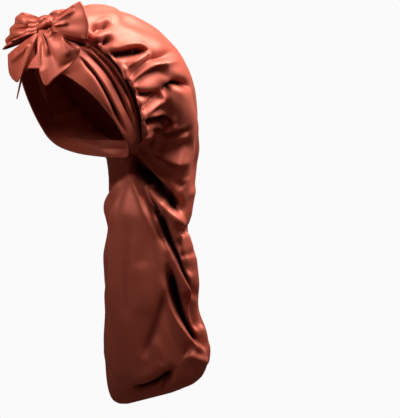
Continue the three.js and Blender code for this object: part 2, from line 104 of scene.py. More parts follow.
# %% Band stations
BAND_STATIONS = np.array([
    # low x, y, z and top x, y, z
    (0, -96, 47, 0, -54, 104),
    (20, -94, 46, 18, -53, 100),
    (39, -84, 39, 38, -48, 83),
    (51, -72, 28, 55, -38, 67),
    (60, -58, 15, 66, -26, 51),
    (66, -45, 1, 73, -16, 33),
    (70, -32, -14, 77, -6, 12),
    (71, -20, -29, 78, 2, -9),
    (70, -8, -43, 75, 9, -28),
    (62, 4, -54, 67, 18, -40),
    (45, 20, -62, 47, 36, -45),
    (23, 38, -66, 24, 52, -46),
    (0, 46, -67, 0, 60, -46),
], dtype=float)
BAND_RING = np.vstack((BAND_STATIONS, BAND_STATIONS[-2:0:-1] * np.tile(MIRROR, 2)))
HEAD_CENTRE = np.array((0.0, 6.0, 12.0))
HEAD_RADIUS = 100.0


def band_directions(angle):
    """Lower and upper edge at an angle, and the directions across the band and out from the head."""
    place = np.asarray(angle, dtype=float) / FULL_TURN * len(BAND_RING)
    index = np.floor(place).astype(int)
    near = [BAND_RING[(index + step) % len(BAND_RING)] for step in NEIGHBOURS]
    both = through_four(*near, place - index)
    low, top = both[..., :3], both[..., 3:]
    across = unit(top - low)
    away = top - HEAD_CENTRE
    return low, top, across, unit(away - across * dot(away, across))


def band_surface(angle, share):
    """Band without its creases. share is 0 at the lower edge and 1 at the sewn edge."""
    low, top, _, out = band_directions(angle)
    share = np.asarray(share, dtype=float)[..., None]
    width = np.linalg.norm(top - low, axis=-1, keepdims=True)
    belly = width ** 2 * share * (1 - share) * 4 / (8 * HEAD_RADIUS)
    return low + (top - low) * share + out * belly


print("band ring of", len(BAND_RING), "stations")

# %% [markdown]
# ## The shape of the bag
#
# The bag starts at the band's upper edge with a gathered lip and then runs through twenty-one oval
# cuts, from the crown over the back of the head and down to the bottom seam. An oval is given by
# its point at the back, its point at the front and its half width. This is the bag without any
# fold, and its folds are laid on it afterwards, as a draper lays them.

# %% Bag cuts
LIPS = np.array([
    # out from the head, on past the band
    (0, 0.4),
    (9, -3),
    (17, 7),
], dtype=float)
BAG_SECTIONS = np.array([
    # back y, z, front y, z, half width, rise of the left side
    (-30, 121, 72, -53, 93, 0),
    (5, 123, 76, -59, 98, 0),
    (43, 116, 78, -66, 99, 0),
    (78, 99, 79, -73, 95, 0),
    (107, 72, 79, -80, 89, 0),
    (127, 40, 78, -87, 83, 0),
    (141, 5, 76, -94, 78, 0),
    (149, -32, 73, -101, 75, 0),
    (148, -64, 69, -109, 71, 0),
    (141, -95, 64, -121, 68, 0),
    (137, -130, 59, -141, 66, 0),
    (137, -160, 60, -165, 63, 0),
    (144, -190, 61, -193, 71, 0),
    (147, -225, 62, -228, 74, 0),
    (147, -258, 63, -264, 73, 2),
    (157, -290, 66, -300, 81, 4),
    (158, -318, 70, -332, 82, 7),
    (144, -343, 78, -353, 80, 10),
    (124, -359, 88, -365, 72, 12),
    (109, -367, 96, -370, 58, 12),
    (104, -371, 99, -372, 40, 9),
], dtype=float)
BAG_END = len(LIPS) + len(BAG_SECTIONS) - 1
# At the ears the lip stands out less than over the forehead by this share, and at the nape by twice
# as much
LIP_EVENING = 0.35


def bag_cut(row, angle):
    """Points of whole-numbered cuts: the lip's rows first, and then the oval sections."""
    turn = np.radians(angle)
    _, top, across, out = band_directions(angle)
    room = 1 - LIP_EVENING + LIP_EVENING * np.cos(turn)
    lip = LIPS[np.minimum(row, len(LIPS) - 1)]
    on = lip[..., 1] * np.where(row > 0, room, 1.0)
    on_lip = top + out * (lip[..., 0] * room)[..., None] + across * on[..., None]
    back_y, back_z, front_y, front_z, half, rise = np.moveaxis(
        BAG_SECTIONS[np.maximum(row - len(LIPS), 0)], -1, 0)
    share = (1 + np.cos(turn)) / 2
    oval = np.stack((
        half * np.sin(turn),
        front_y + (back_y - front_y) * share,
        front_z + (back_z - front_z) * share + rise * np.sin(turn),
    ), axis=-1)
    return np.where((row < len(LIPS))[..., None], on_lip, oval)


def bag_surface(angle, row):
    angle, row = np.broadcast_arrays(np.asarray(angle, dtype=float), np.asarray(row, dtype=float))
    index = np.clip(np.floor(row).astype(int), 0, BAG_END - 1)
    near = [bag_cut(np.clip(index + step, 0, BAG_END), angle) for step in NEIGHBOURS]
    return through_four(*near, row - index)


print("bag of", BAG_END + 1, "cuts; its bottom is at z", BAG_SECTIONS[-1][1], "mm")

# %% [markdown]
# ## How a fold is laid on cloth
#
# A fold is a line through a few places on a surface, with a height and a reach. Points near the
# line are lifted, or sunk where the height is negative. Satin doesn't bend like clay: it stays
# nearly flat between folds and turns sharply at them. So a fold's two flanks fall away evenly from
# a narrow crest, and its sharpness says how evenly: 1 is a tent, 2 is a soft hill. A lean slides
# the crest sideways, which makes one flank steep and dark.

# %% Folds on a surface
FOLD_SPAN_STEPS = 5
FOLD_TAPER = 0.24
CREST_ROUNDING = 1.0
# Between these places in x the right side's folds take over from the left's. They wander by this
# many millimetres, and have this share of the left's painted shade.
LEFT_EDGE = (-30.0, -12.0)
RIGHT_WANDER = 7.0
RIGHT_PAINTED_SHADE = 0.5


def facing(surface, across, along, across_step, along_step):
    """Direction that a surface faces, from small steps to each side of a place."""
    sideways = surface(across + across_step, along) - surface(across - across_step, along)
    onward = surface(across, along + along_step) - surface(across, along - along_step)
    return unit(np.cross(sideways, onward))


def lay_fold(places, surface, steps):
    """Path of a fold: its points, and at each one the direction to its left on the cloth."""
    places = np.array(places, dtype=float)
    spans = len(places) - 1
    place = np.linspace(0, spans, spans * FOLD_SPAN_STEPS + 1)
    index = np.minimum(place.astype(int), spans - 1)
    near = [places[np.clip(index + step, 0, spans)] for step in NEIGHBOURS]
    on_path = through_four(*near, place - index)
    path = surface(on_path[:, 0], on_path[:, 1])
    normal = facing(surface, on_path[:, 0], on_path[:, 1], *steps)
    tangent = unit(np.gradient(path, axis=0))
    return path, unit(np.cross(normal, tangent))


def fold_shift(sizes, path, sides, points):
    """Height of the fold at points, and how far its crest slides them sideways."""
    height, reach, sharpness, lean = sizes
    best = np.full(points.shape[:-1], np.inf)
    along = np.zeros(points.shape[:-1])
    side = np.zeros(points.shape)
    for k in range(len(path) - 1):
        step = path[k + 1] - path[k]
        t = np.clip(((points - path[k]) @ step) / (step @ step), 0.0, 1.0)
        apart = points - path[k] - t[..., None] * step
        distance = np.sqrt(np.sum(apart * apart, axis=-1))
        nearer = distance < best
        best = np.where(nearer, distance, best)
        along = np.where(nearer, (k + t) / (len(path) - 1), along)
        if lean:
            side[nearer] = sides[k]
    taper = fade_ends(FOLD_TAPER, along)
    from_crest = np.sqrt(best ** 2 + CREST_ROUNDING ** 2) - CREST_ROUNDING
    crest = taper * np.exp(-((from_crest / reach) ** sharpness))
    return height * crest, side * (lean * crest)[..., None]


# %% A table of folds on a cloth
def wandering(points):
    """Slow shifts, so that the right side's folds aren't an exact mirror of the left's."""
    x, y, z = np.moveaxis(points, -1, 0)
    return RIGHT_WANDER * np.stack((
        np.sin(y / 31 + z / 47), np.sin(z / 37 + x / 53 + 1), np.sin(x / 29 - y / 41 + 2)), axis=-1)


def fold_cloth(points, folds, surface, steps, right_side=0.0):
    """Heights, slides and depth in the valleys, of a table of folds and their likeness on the right."""
    heights = np.zeros(points.shape[:-1])
    sunk = np.zeros(points.shape[:-1])
    slides = np.zeros(points.shape)
    left = soft_step(*LEFT_EDGE, points[..., 0]) if right_side else np.ones(points.shape[:-1])
    right = right_side * (1 - left)
    other_side = (points + wandering(points)) * MIRROR
    for places, *sizes in folds:
        path, sides = lay_fold(places, surface, steps)
        height, slide = fold_shift(sizes, path, sides, points)
        heights += left * height
        slides += left[..., None] * slide
        sunk = np.maximum(sunk, -left * height)
        if right_side:
            height, slide = fold_shift(sizes, path, sides, other_side)
            heights += right * height
            slides += right[..., None] * slide * MIRROR
            sunk = np.maximum(sunk, -RIGHT_PAINTED_SHADE * right * height)
    return heights, slides, sunk


# %% [markdown]
# ## A wall of cloth
#
# Cloth has two faces and an edge, so each piece is a closed wall: a fine grid for the side that
# shows, a grid with half as many points each way for the side that doesn't, and a rim between
# them. The UV map is in metres along the flat cloth, so that a weave can follow it round every fold.

# %% From grids to a mesh
# Painted shade in a valley begins at this share of the deepest one
FOLD_SHADE_START = 0.12


def in_scene(name, data):
    """An object at the origin that holds a mesh, a camera or a light."""
    made = bpy.data.objects.new(name, data)
    bpy.context.scene.collection.objects.link(made)
    return made


def quad_corners(rows, columns, ring):
    """Corner places of a grid's quads, as row and column pairs that don't wrap."""
    spans = columns if ring else columns - 1
    first = np.stack(np.meshgrid(np.arange(rows - 1), np.arange(spans), indexing="ij"), axis=-1)
    return first.reshape(-1, 1, 2) + ((0, 0), (0, 1), (1, 1), (1, 0))


def painted_fold_shade(sunk, deepest):
    """How much painted shade a fold gets, from 0 on open cloth to 1 at the deepest fold."""
    return soft_step(FOLD_SHADE_START * deepest, deepest, sunk)


def cloth_object(name, points, polygons, places, flat_size, hollow):
    """Object in metres, with its place on the flat cloth as UV and the painted shade of its folds.

    Places hold a share of the length and of the width for each corner of each polygon. Hollow has
    a value of painted shade for each point of the face, and those are the first points."""
    mesh = bpy.data.meshes.new(name)
    mesh.from_pydata((np.vstack(points) * MILLIMETRE).tolist(), [], polygons)
    flat = np.array([place for polygon in places for place in polygon])
    layer = mesh.uv_layers.new(name="cloth")
    layer.data.foreach_set("uv", (flat[:, ::-1] * flat_size).ravel())
    # The hollow attribute carries the painted shade of the folds to the satin
    values = np.zeros(len(mesh.vertices))
    values[:hollow.size] = hollow.ravel()
    mesh.attributes.new("hollow", "FLOAT", "POINT").data.foreach_set("value", values)
    mesh.shade_smooth()
    return in_scene(name, mesh)


# %% A closed wall from two grids
def cloth_wall(name, face, back, hollow, flat_width, flat_length, ring, closed_end=False):
    """Closed wall from a fine face grid and a back grid that has half its spans both ways."""
    face_rows, face_columns = face.shape[:2]
    back_rows, back_columns = back.shape[:2]
    points = [face.reshape(-1, 3), back.reshape(-1, 3)]
    back_start = face_rows * face_columns

    def face_point(row, column):
        return row * face_columns + column % face_columns

    def back_point(row, column):
        return back_start + row * back_columns + column % back_columns

    corners = quad_corners(face_rows, face_columns, ring)
    polygons = face_point(corners[..., 0], corners[..., 1]).tolist()
    places = (corners / (face_rows - 1, face_columns - (0 if ring else 1))).tolist()
    corners = quad_corners(back_rows, back_columns, ring)[:, ::-1]
    polygons += back_point(corners[..., 0], corners[..., 1]).tolist()
    places += (corners / (back_rows - 1, back_columns - (0 if ring else 1))).tolist()

    def rim(fine, coarse, fine_place, flip):
        """Strip between a fine edge and a coarse edge that has every second point of it."""
        for k in range(len(coarse) - 1):
            a, b, c = fine[2 * k:2 * k + 3]
            for triangle, shares in (
                ((a, coarse[k], b), (0, 0, 1)),
                ((b, coarse[k], coarse[k + 1]), (1, 0, 2)),
                ((b, coarse[k + 1], c), (1, 2, 2)),
            ):
                shown = [fine_place(2 * k + share) for share in shares]
                polygons.append(list(triangle[::-1] if flip else triangle))
                places.append(shown[::-1] if flip else shown)

    span = face_columns if ring else face_columns - 1
    back_span = back_columns if ring else back_columns - 1
    ends = ((0, 0, False),) if closed_end else ((0, 0, False), (face_rows - 1, back_rows - 1, True))
    for row, back_row, flip in ends:
        rim([face_point(row, k) for k in range(span + 1)],
            [back_point(back_row, k) for k in range(back_span + 1)],
            lambda k, share=row / (face_rows - 1): (share, k / span), flip=flip)
    if not ring:
        for column, back_column, flip in ((0, 0, True), (span, back_span, False)):
            rim([face_point(k, column) for k in range(face_rows)],
                [back_point(k, back_column) for k in range(back_rows)],
                lambda k, share=column / span: (k / (face_rows - 1), share), flip=flip)
    if closed_end:
        for start, columns, last, flip in (
            (0, face_columns, face_rows - 1, False),
            (back_start, back_columns, back_rows - 1, True),
        ):
            edge = start + last * columns + np.arange(columns)
            pole = sum(len(group) for group in points)
            points.append(np.vstack(points)[edge].mean(axis=0, keepdims=True))
            for k in range(columns):
                triangle = [edge[k], edge[(k + 1) % columns], pole]
                shown = [(1.0, k / columns), (1.0, (k + 1) / columns), (1.0, (k + 0.5) / columns)]
                polygons.append([int(p) for p in (triangle[::-1] if flip else triangle)])
                places.append(shown[::-1] if flip else shown)

    return cloth_object(name, points, polygons, places, (flat_width, flat_length), hollow)


# %% Measuring a piece
def measure(piece):
    """Volume in cubic centimetres and triangles, to see that a wall is closed and faces out."""
    mesh = piece.data
    mesh.calc_loop_triangles()
    corners = np.array([[mesh.vertices[v].co[:] for v in t.vertices] for t in mesh.loop_triangles])
    volume = np.sum(corners[:, 0] * np.cross(corners[:, 1], corners[:, 2])) / 6
    twice_areas = np.cross(corners[:, 1] - corners[:, 0], corners[:, 2] - corners[:, 0])
    area = np.linalg.norm(twice_areas, axis=1).sum() / 2
    print(f"{piece.name}: {volume * 1e6:.1f} cm3, {area * 1e4:.0f} cm2, {len(corners)} triangles")


# %% [markdown]
# ## The folds of the bag
#
# A place on the bag is an angle round it and a row of the cuts above. Angle 0 is over the forehead
# at the lip and runs over the crown to the middle of the back, and 90 is the wearer's left. Short
# deep folds crowd the gathered edge at the ear and the temple. Below the nape the weight of the bag
# pulls long diagonal folds down to the outer side.

# %% Named folds of the bag
# Every sunk fold gets painted shade in the satin. Some are sunk for that shade as much as for their
# shape: the side shade darkens the side, and the nape valley, the forehead dip and the seam groove
# stand for shadow under the head, behind the bow and under the lip.
BAG_FOLDS = {
    # places as angle and row; height, reach, sharpness, lean
    "side shade": (((96.5, 14.1), (96.5, 14.55), (96, 15.15), (86, 15.7)), -8, 6.5, 1.8, 0),
    "crown rise": (((5.5, 3.2), (6.5, 3.75), (12, 4.05), (19.5, 4.35)), 3, 12, 2, 0),
    "second plain fold": (((162.5, 15.1), (160, 16.1), (162, 17.15)), 2.5, 12, 2, 0),
    "plain fold": (((176.5, 12.85), (180.5, 14.6), (184.5, 16.1), (183, 17.45)), -4, 12, 2, 0),
    "front fold": (
        ((129.5, 15.95), (134.5, 16.65), (146, 17.35), (158.5, 18.05), (165.5, 18.7)),
        -7, 7, 1.4, -2),
    "side glow": (((155.5, 17.8), (148.5, 18.35), (143.5, 19), (141.5, 19.75)), 3, 9, 2, 0),
    "hem glow": (((181, 19.75), (166, 19.6), (153.5, 19.3), (143, 18.8)), 3.5, 9, 2, 0),
    "hem corner": (((76, 18.3), (62.5, 18.9), (69.5, 19.5)), 2.5, 8, 2, 0),
    "front hollow": (((34, 2.1), (34.5, 2.35), (35.5, 2.6), (35.5, 3)), -9, 3.4, 1.5, 0),
    "front rim": (((32, 2.4), (32.5, 2.75), (33.5, 3.2)), 2.5, 4, 1.5, 0),
    "slim ridge": (((37, 1.25), (40, 1.85), (41.5, 2.2), (43, 2.5)), 5, 3.5, 1.4, 0),
    "black cleft": (((37, 0.7), (43, 1.6), (45, 2.15), (44, 2.5)), -13, 4, 1.3, 0),
    "almond hollow": (((56, 1.4), (58, 2.05), (62, 2.45), (66.5, 2.9), (69, 3.45)), -15, 5, 1.6, 3),
    "almond rim": (
        ((49, 2.15), (55.5, 2.25), (58, 2.65), (60.5, 2.9), (63, 3.25), (67, 3.65)),
        5, 4, 1.4, -1),
    "hook ridge": (((69.5, 3.6), (72.5, 3.05), (72, 2.6), (69, 2.05)), 9, 3.5, 1.2, -2),
    "hook edge": (((68, 2.1), (71, 1.65), (76.5, 1.3)), 5, 4, 1.4, 0),
    "flap valley": (
        ((77.5, 1.4), (77, 2.25), (77, 2.7), (75, 3.3), (68.5, 4.4), (50.5, 6.15)),
        -9, 5, 1.3, 0),
    "leaf ridge": (((79, 1.6), (80, 2.4), (81, 3.05), (77, 4.05), (67, 5.55)), 6, 4, 1.3, 0),
    "second valley": (((82.5, 1.85), (84, 2.55), (84.5, 3.15), (79.5, 4.15)), -8, 5, 1.3, 1),
    "thin valley": (((84.5, 1.55), (90, 2.05), (96.5, 2.45), (105.5, 3.1)), -12, 3, 1.2, 1),
    "curved valley": (
        ((105.5, 3.05), (98, 3.7), (92, 4.4), (87, 5.25), (78.5, 6.55)),
        -14, 4.5, 1.3, 2),
    "slant valley": (((103, 2), (103.5, 2.4), (104.5, 2.7), (106.5, 3.1)), -9, 3, 1.2, 0),
    "slant rim": (((107.5, 2.15), (108, 2.6), (110, 3.15)), 3, 3, 1.3, 0),
    "pocket shade": (((112.5, 2.2), (114, 2.6), (117, 3.1)), -5, 4, 1.4, 0),
    "pocket rim": (((110.5, 2.2), (117, 2.6), (124, 3.45), (121, 4.75)), 4, 3.5, 1.4, 0),
    "ear pocket": (
        ((112, 1.9), (118.5, 2.3), (123, 2.65), (127.5, 3.25), (124.5, 4.3)),
        -15, 3.8, 1.5, 1),
    "pocket lip": (((129.5, 2.65), (135.5, 3.3), (130, 4.15), (123, 4.9)), 5, 2.6, 1.3, 0),
    "outline swell": (((81, 11.9), (61.5, 12.7), (60.5, 13.4)), 2, 10, 2, 0),
    "pocket line": (((137.5, 2.95), (134, 4.05), (126, 5.2), (108.5, 7.3)), 2.5, 3, 1.3, 0),
    "under line": (((129.5, 2.15), (142.5, 3.65), (128.5, 5.55), (104, 7.7)), -8, 4, 1.4, 0),
    "middle line": (((146.5, 4.2), (132.5, 5.85), (109, 7.65)), 3, 3, 1.3, 0),
    "patch hollow": (((154, 3.65), (143.5, 5.15), (123.5, 7.45), (99.5, 8.65)), -5, 7, 1.4, 0),
    "patch edge": (
        ((137, 2.25), (154.5, 4), (148, 5.85), (136, 7.75), (120.5, 9.05), (100, 10)),
        11, 10, 1.3, -4),
    "patch shadow": (
        ((137, 2.15), (157.5, 4.1), (150.5, 6.1), (136.5, 8.15), (119.5, 9.6)),
        -6, 3, 1.3, 0),
    "inner fold": (((157.5, 2.9), (158.5, 5.05), (147.5, 7.75)), 3, 4, 1.4, 0),
    "great ridge": (
        ((174.5, 2.8), (172.5, 4.45), (165.5, 6.3), (154, 8.55), (142, 10), (130, 10.95)),
        7, 5, 1.3, -2),
    "great valley": (
        ((186.5, 4.25), (178.5, 6.1), (166, 8.5), (147.5, 10.75), (128, 11.95), (106.5, 12.65),
         (82.5, 13.1)),
        -18, 7.2, 1.9, 2),
    "sheen ridge": (
        ((183, 7.2), (172.5, 8.85), (153, 11.2), (134.5, 12.3), (116.5, 12.95), (98.5, 13.4),
         (72.5, 13.75)),
        9, 5.5, 1.6, 0),
    "side valley": (((132, 10.35), (118, 11.1), (103.5, 11.65)), -3, 4, 1.4, 0),
    "side facet": (((105.5, 10.85), (91, 11.8), (74.5, 12.45)), 1.5, 6, 2, 0),
    "second trough": (
        ((173.5, 9.35), (153.5, 11.8), (139.5, 12.75), (128, 13.45), (118.5, 14.2), (114, 14.85),
         (105, 15.5), (90, 16.15), (62, 16.65)),
        -17, 4.8, 1.5, 1),
    "long thin ridge": (
        ((166, 10.8), (150.5, 12.3), (137.5, 13.15), (127, 13.95), (121.5, 14.65), (115.5, 15.25),
         (106.5, 15.8), (94, 16.35), (79, 16.7)),
        12, 5, 1.4, 0),
    "waist valley": (
        ((178.5, 8.45), (164, 11.05), (149.5, 12.45), (138.5, 13.3), (130.5, 14.1), (125.5, 14.75)),
        -8, 2.8, 1.2, 0),
    "waist ridge": (
        ((186.5, 7.95), (174.5, 10.55), (158, 12.35), (145.5, 13.35), (137, 14.25)),
        5, 4, 1.5, 0),
    "side notch": (((96, 14.05), (72.5, 13.8), (59, 13.65)), -6, 4, 1.4, 0),
    "side wrinkle": (((105, 14.85), (90.5, 14.85), (59, 14.8)), -3, 3, 1.3, 0),
    "lens valley": (
        ((127.5, 15.1), (125.5, 15.75), (120.5, 16.3), (111, 16.9), (104.5, 17.4), (97.5, 18),
         (82, 18.65)),
        -19, 6, 1.6, 1),
    "lens floor": (((107, 16.2), (89, 16.95), (79.5, 17.75)), -6, 9, 2, 0),
    "lower ridge": (
        ((134, 15.55), (131, 16.05), (126.5, 16.55), (122, 17), (117.5, 17.45), (112, 17.85),
         (106, 18.2), (93.5, 18.6), (78, 18.9)),
        10, 4, 1.2, 0),
    "corner tuck": (((117, 18.75), (113.5, 18.4), (111, 18.1)), -2.5, 4, 1.5, 0),
    "corner patch": (((115.5, 18.55), (103, 18.95), (79, 19.35)), 9, 7, 1.6, 0),
    "hem fold": (
        ((198, 20.75), (183, 20.55), (169.5, 20.45), (156, 20.2), (143.5, 19.7), (129, 19.1)),
        -14, 4.5, 1.3, 2),
    "hem branch": (((146.5, 19.9), (151.5, 20.35), (156, 21.4)), -7, 3, 1.3, 0),
    "crown line": (((32.5, 2.2), (29.5, 2.6), (25, 3.25)), -2, 5, 1.5, 0),
    "crown tuck": (((13.5, 4.45), (16, 4.55), (22.5, 4.5)), -5, 3.5, 1.5, 0),
    "seam groove": (
        ((36, 0.7), (55, 0.7), (75, 0.75), (95, 0.8), (115, 0.8), (135, 0.8), (155, 0.8)),
        -7, 4, 1.5, 0),
    "outline hollow": (
        ((69, 6.4), (74, 7.15), (68, 8.35), (66, 9.25), (77, 9.9), (79.5, 10.95), (67.5, 12.2)),
        -5.5, 14, 2, 0),
    "nape valley": (
        ((195.5, 4.45), (191, 5.6), (184, 7.05), (171.5, 8.85), (152, 11.1)),
        -13, 7, 1.6, 0),
    "forehead dip": (((-18, 0.8), (-8, 1.3), (3, 1.9), (16, 2.6)), -15, 17, 2, 0),
    "crown dimple": (((30, 3.6), (42, 4.3), (50, 5.8)), -3, 14, 2, 0),
    "back swell": (((14, 6.0), (18, 10.0), (34, 14.0)), 6, 13, 1.6, 0),
    "back trough": (((40, 9.0), (38, 12.6), (22, 17.0)), -8, 10, 1.3, 0),
}
RIGHT_SIDE_SHARE = 0.75
print(len(BAG_FOLDS), "named folds")

# %% [markdown]
# Between the named folds there are countless small ones. Thread pulls the cloth into even gathers
# along the sewn edge, which fade over the crown, and loose pleats run down the hanging bag. Three
# sets of waves with different counts keep the gathers from looking like a comb, and a few broad
# ripples give the satin something to shimmer on.

# %% Gathers, pleats and ripples
GATHERS = (
    # count, height in mm, first row, full row, fading row, last row
    (41, 0.7, 0.2, 0.6, 1.2, 2.4),
    (27, 1.1, 0.3, 1.2, 1.9, 4.0),
    (16, 1.6, 0.3, 1.4, 2.4, 6.0),
    (11, 2.2, 7.0, 10.5, 17.0, 22.5),
)
# Slow waves round the bag shift the gathers and make some of them lower
GATHER_WANDER = 0.9
GATHER_DRIFT = 0.4
GATHER_UNEVENNESS = 0.35
RIPPLE_SEED = 11
RIPPLE_COUNT = 10
RIPPLE_HEIGHT = 0.3
RIPPLE_LENGTHS = (26, 70)
RIPPLE_SPREAD = (1.0, 1.0, 0.45)
RIPPLE_BENDS = (0.4, 1.2)


def gathers(angle, row):
    """Height of the gathers and pleats at a place."""
    turn = np.radians(angle)
    total = np.zeros(np.broadcast(angle, row).shape)
    for count, height, first, full, fading, last in GATHERS:
        shown = soft_step(first, full, row) * (1 - soft_step(fading, last, row))
        wander = GATHER_WANDER * (
            np.sin(3 * turn + 1) + np.sin(5 * turn - GATHER_DRIFT * row) + np.sin(count + 2 * turn))
        uneven = 1 - GATHER_UNEVENNESS + GATHER_UNEVENNESS * np.sin(7 * turn + count)
        total = total + height * shown * uneven * np.sin(count * turn + wander)
    return total


def ripples(points):
    """Broad soft waves, longer down the bag than round it, and the same each time."""
    chance = np.random.default_rng(RIPPLE_SEED)
    total = np.zeros(points.shape[:-1])
    for _ in range(RIPPLE_COUNT):
        length = chance.uniform(*RIPPLE_LENGTHS)
        across = chance.normal(size=3) * RIPPLE_SPREAD
        wave = 2 * np.pi / length * unit(across)
        # each wave bends along a slower one that crosses it
        swing = chance.uniform(*RIPPLE_BENDS)
        bend = swing * np.sin(points @ (wave[[2, 0, 1]] * 0.5) + chance.uniform(0, 6))
        total += np.sin(points @ wave + bend + chance.uniform(0, 6))
    return RIPPLE_HEIGHT * total / np.sqrt(RIPPLE_COUNT)


# %% [markdown]
# ## The bag
#
# The grid is finer round the bag than along it, because most folds run lengthwise. The lip has its
# own close rows, since the gathers are smallest there.

# %% Building the bag
BAG_CLOTH = 2.0
BAG_AROUND = 320
BAG_LIP_ROWS = 28
BAG_LENGTH_ROWS = 212
BAG_STEPS = (1.0, 0.05)
# Folds this deep get the full painted shade. Painted shadow as dark lies along the seam's groove,
# in these rows and up to these angles from the nape.
BAG_DEEPEST = 15.0
SEAM_SHADOW_ROWS = (0.4, 1.3)
SEAM_SHADOW_ANGLES = (130.0, 160.0)
# Under the nape, where it lies close, the front of the bag has hardly a fold
CLOSE_ROWS = (1.5, 4.0)
CLOSE_START = (184.0, 206.0)
CLOSE_FINISH = (262.0, 292.0)
CLOSE_CALM = 0.6
# Rows over which the folds fade at the lip and above the bottom seam
LIP_FADE = 0.9
BOTTOM_FADE = 2.4
# From one row on the inside's rows draw together, and they end at the other
LINING_TURN = 18.0
LINING_END = 21.6
BAG_FLAT_AROUND = 0.52
BAG_FLAT_LENGTH = 0.52


def bag_layer(depth, share_of_points):
    """Points of one side of the cloth, and painted shade in its folds and along the seam.

    The inside stops short of the bottom seam, where the cloth is double."""
    angles = ring_angles(BAG_AROUND, share_of_points)
    lip = np.linspace(0, len(LIPS), BAG_LIP_ROWS // share_of_points, endpoint=False)
    hang = np.linspace(len(LIPS), BAG_END, BAG_LENGTH_ROWS // share_of_points + 1)
    rows = np.concatenate((lip, hang))
    if depth:
        rows = np.interp(rows, (0, LINING_TURN, BAG_END), (0, LINING_TURN, LINING_END))
    row, angle = np.meshgrid(rows, angles, indexing="ij")
    base = bag_surface(angle, row)
    normal = facing(bag_surface, angle, row, *BAG_STEPS)
    heights, slides, sunk = fold_cloth(
        base, BAG_FOLDS.values(), bag_surface, BAG_STEPS, RIGHT_SIDE_SHARE)
    heights = heights + gathers(angle, row) + ripples(base)
    calm = soft_step(*CLOSE_START, angle) * (1 - soft_step(*CLOSE_FINISH, angle))
    calm = soft_step(*CLOSE_ROWS, row) * calm
    shown = soft_step(0, LIP_FADE, row) * soft_step(0, BOTTOM_FADE, BAG_END - row)
    shown = shown * (1 - CLOSE_CALM * calm)
    points = base + normal * (heights * shown - depth)[..., None] + slides * shown[..., None]
    # Painted shadow along the seam, where the lip overhangs the band's edge
    seam = (1 - soft_step(*SEAM_SHADOW_ROWS, row)) * (1 - soft_step(*SEAM_SHADOW_ANGLES, np.abs(angle - 180)))
    return points, np.maximum(painted_fold_shade(sunk * shown, BAG_DEEPEST), seam)


bag_face, bag_fold_shade = bag_layer(0, 1)
bag_back, _ = bag_layer(BAG_CLOTH, 2)
bag = cloth_wall("satin_bag", bag_face, bag_back, bag_fold_shade,
                 BAG_FLAT_AROUND, BAG_FLAT_LENGTH, ring=True, closed_end=True)
measure(bag)

# %% [markdown]
# ## The band
#
# Tying the bow pulls the wide band into lengthwise creases that run from the knot to the ear and
# die out behind it. They are sharper than the bag's folds, because stretch satin is thicker and is
# under tension here.

# %% Creases of the band
BAND_CREASES = {
    # places as angle and share of the width; height, reach, sharpness, lean
    # The bow shadow is a real dip in the band, and its painted shade stands for the shadow under the
    # bow
    "bow shadow": (((12.5, 0.64), (21, 0.7), (27.5, 0.84), (34.5, 0.95)), -7, 3.5, 1.6, 0),
    "lower crease": (
        ((33.5, 0.53), (45.5, 0.48), (59.5, 0.38), (73, 0.29), (88.5, 0.2), (114.5, 0.12)),
        -6, 1.9, 1.1, 1),
    "lower fold": (
        ((31.5, 0.58), (43, 0.54), (57.5, 0.45), (71.5, 0.39), (87.5, 0.29), (112.5, 0.24)),
        3, 2.4, 1.2, -1),
    "upper crease": (
        ((30.5, 0.68), (38.5, 0.75), (48, 0.74), (56.5, 0.71), (67, 0.68), (77.5, 0.64), (94, 0.59),
         (123, 0.58)),
        -5.5, 1.9, 1.1, 1),
    "upper fold": (
        ((30.5, 0.76), (40, 0.83), (52, 0.81), (62.5, 0.79), (75, 0.78), (91, 0.73), (122, 0.76)),
        3, 2.6, 1.2, -1),
    "edge crease": (
        ((31, 0.9), (40.5, 0.95), (49.5, 0.96), (63, 0.91), (74, 0.9), (91, 0.89), (114, 1)),
        -4, 1.7, 1.1, 1),
    "fine crease": (((38, 0.88), (48, 0.89), (59, 0.86), (70, 0.83)), -2, 1.3, 1.2, 0),
    "lower swell": (((40.5, 0.39), (55.5, 0.3), (70, 0.19), (88.5, 0.05)), 2, 6, 2, 0),
    "nape crease": (((140, 0.5), (180, 0.45), (220, 0.5)), -2, 2.5, 1.3, 0),
}
print(len(BAND_CREASES), "creases in the band")

# %% Building the band
BAND_CLOTH = 2.0
# Band creases this deep get the full painted shade
BAND_DEEPEST = 7.0
BAND_AROUND = 480
BAND_ROWS = 64
BAND_STEPS = (1.0, 0.02)
BAND_EDGE_FADE = 0.08
BAND_RIPPLES = 0.5
BAND_FLAT_WIDTH = 0.055
BAND_FLAT_LENGTH = 0.46


def band_layer(depth, share_of_points):
    angles = ring_angles(BAND_AROUND, share_of_points)
    shares = np.linspace(0, 1, BAND_ROWS // share_of_points + 1)
    share, angle = np.meshgrid(shares, angles, indexing="ij")
    base = band_surface(angle, share)
    _, _, _, out = band_directions(angle)
    heights, slides, sunk = fold_cloth(base, BAND_CREASES.values(), band_surface, BAND_STEPS, 1.0)
    heights = heights + BAND_RIPPLES * ripples(base)
    shown = fade_ends(BAND_EDGE_FADE, share)
    points = base + out * (heights * shown - depth)[..., None] + slides * shown[..., None]
    return points, painted_fold_shade(sunk * shown, BAND_DEEPEST)


band_face, band_fold_shade = band_layer(0, 1)
band_back, _ = band_layer(BAND_CLOTH, 2)
band = cloth_wall("stretch_band", band_face, band_back, band_fold_shade,
                  BAND_FLAT_LENGTH, BAND_FLAT_WIDTH, ring=True)
measure(band)

# %% [markdown]
# ## The bow's loops
#
# A loop is a strip of the tie that goes out from the knot, bends and comes back. At the knot it is
# pinched to 16 mm, and it fans out to the full width at the bend, so its creases all run together
# at the knot.

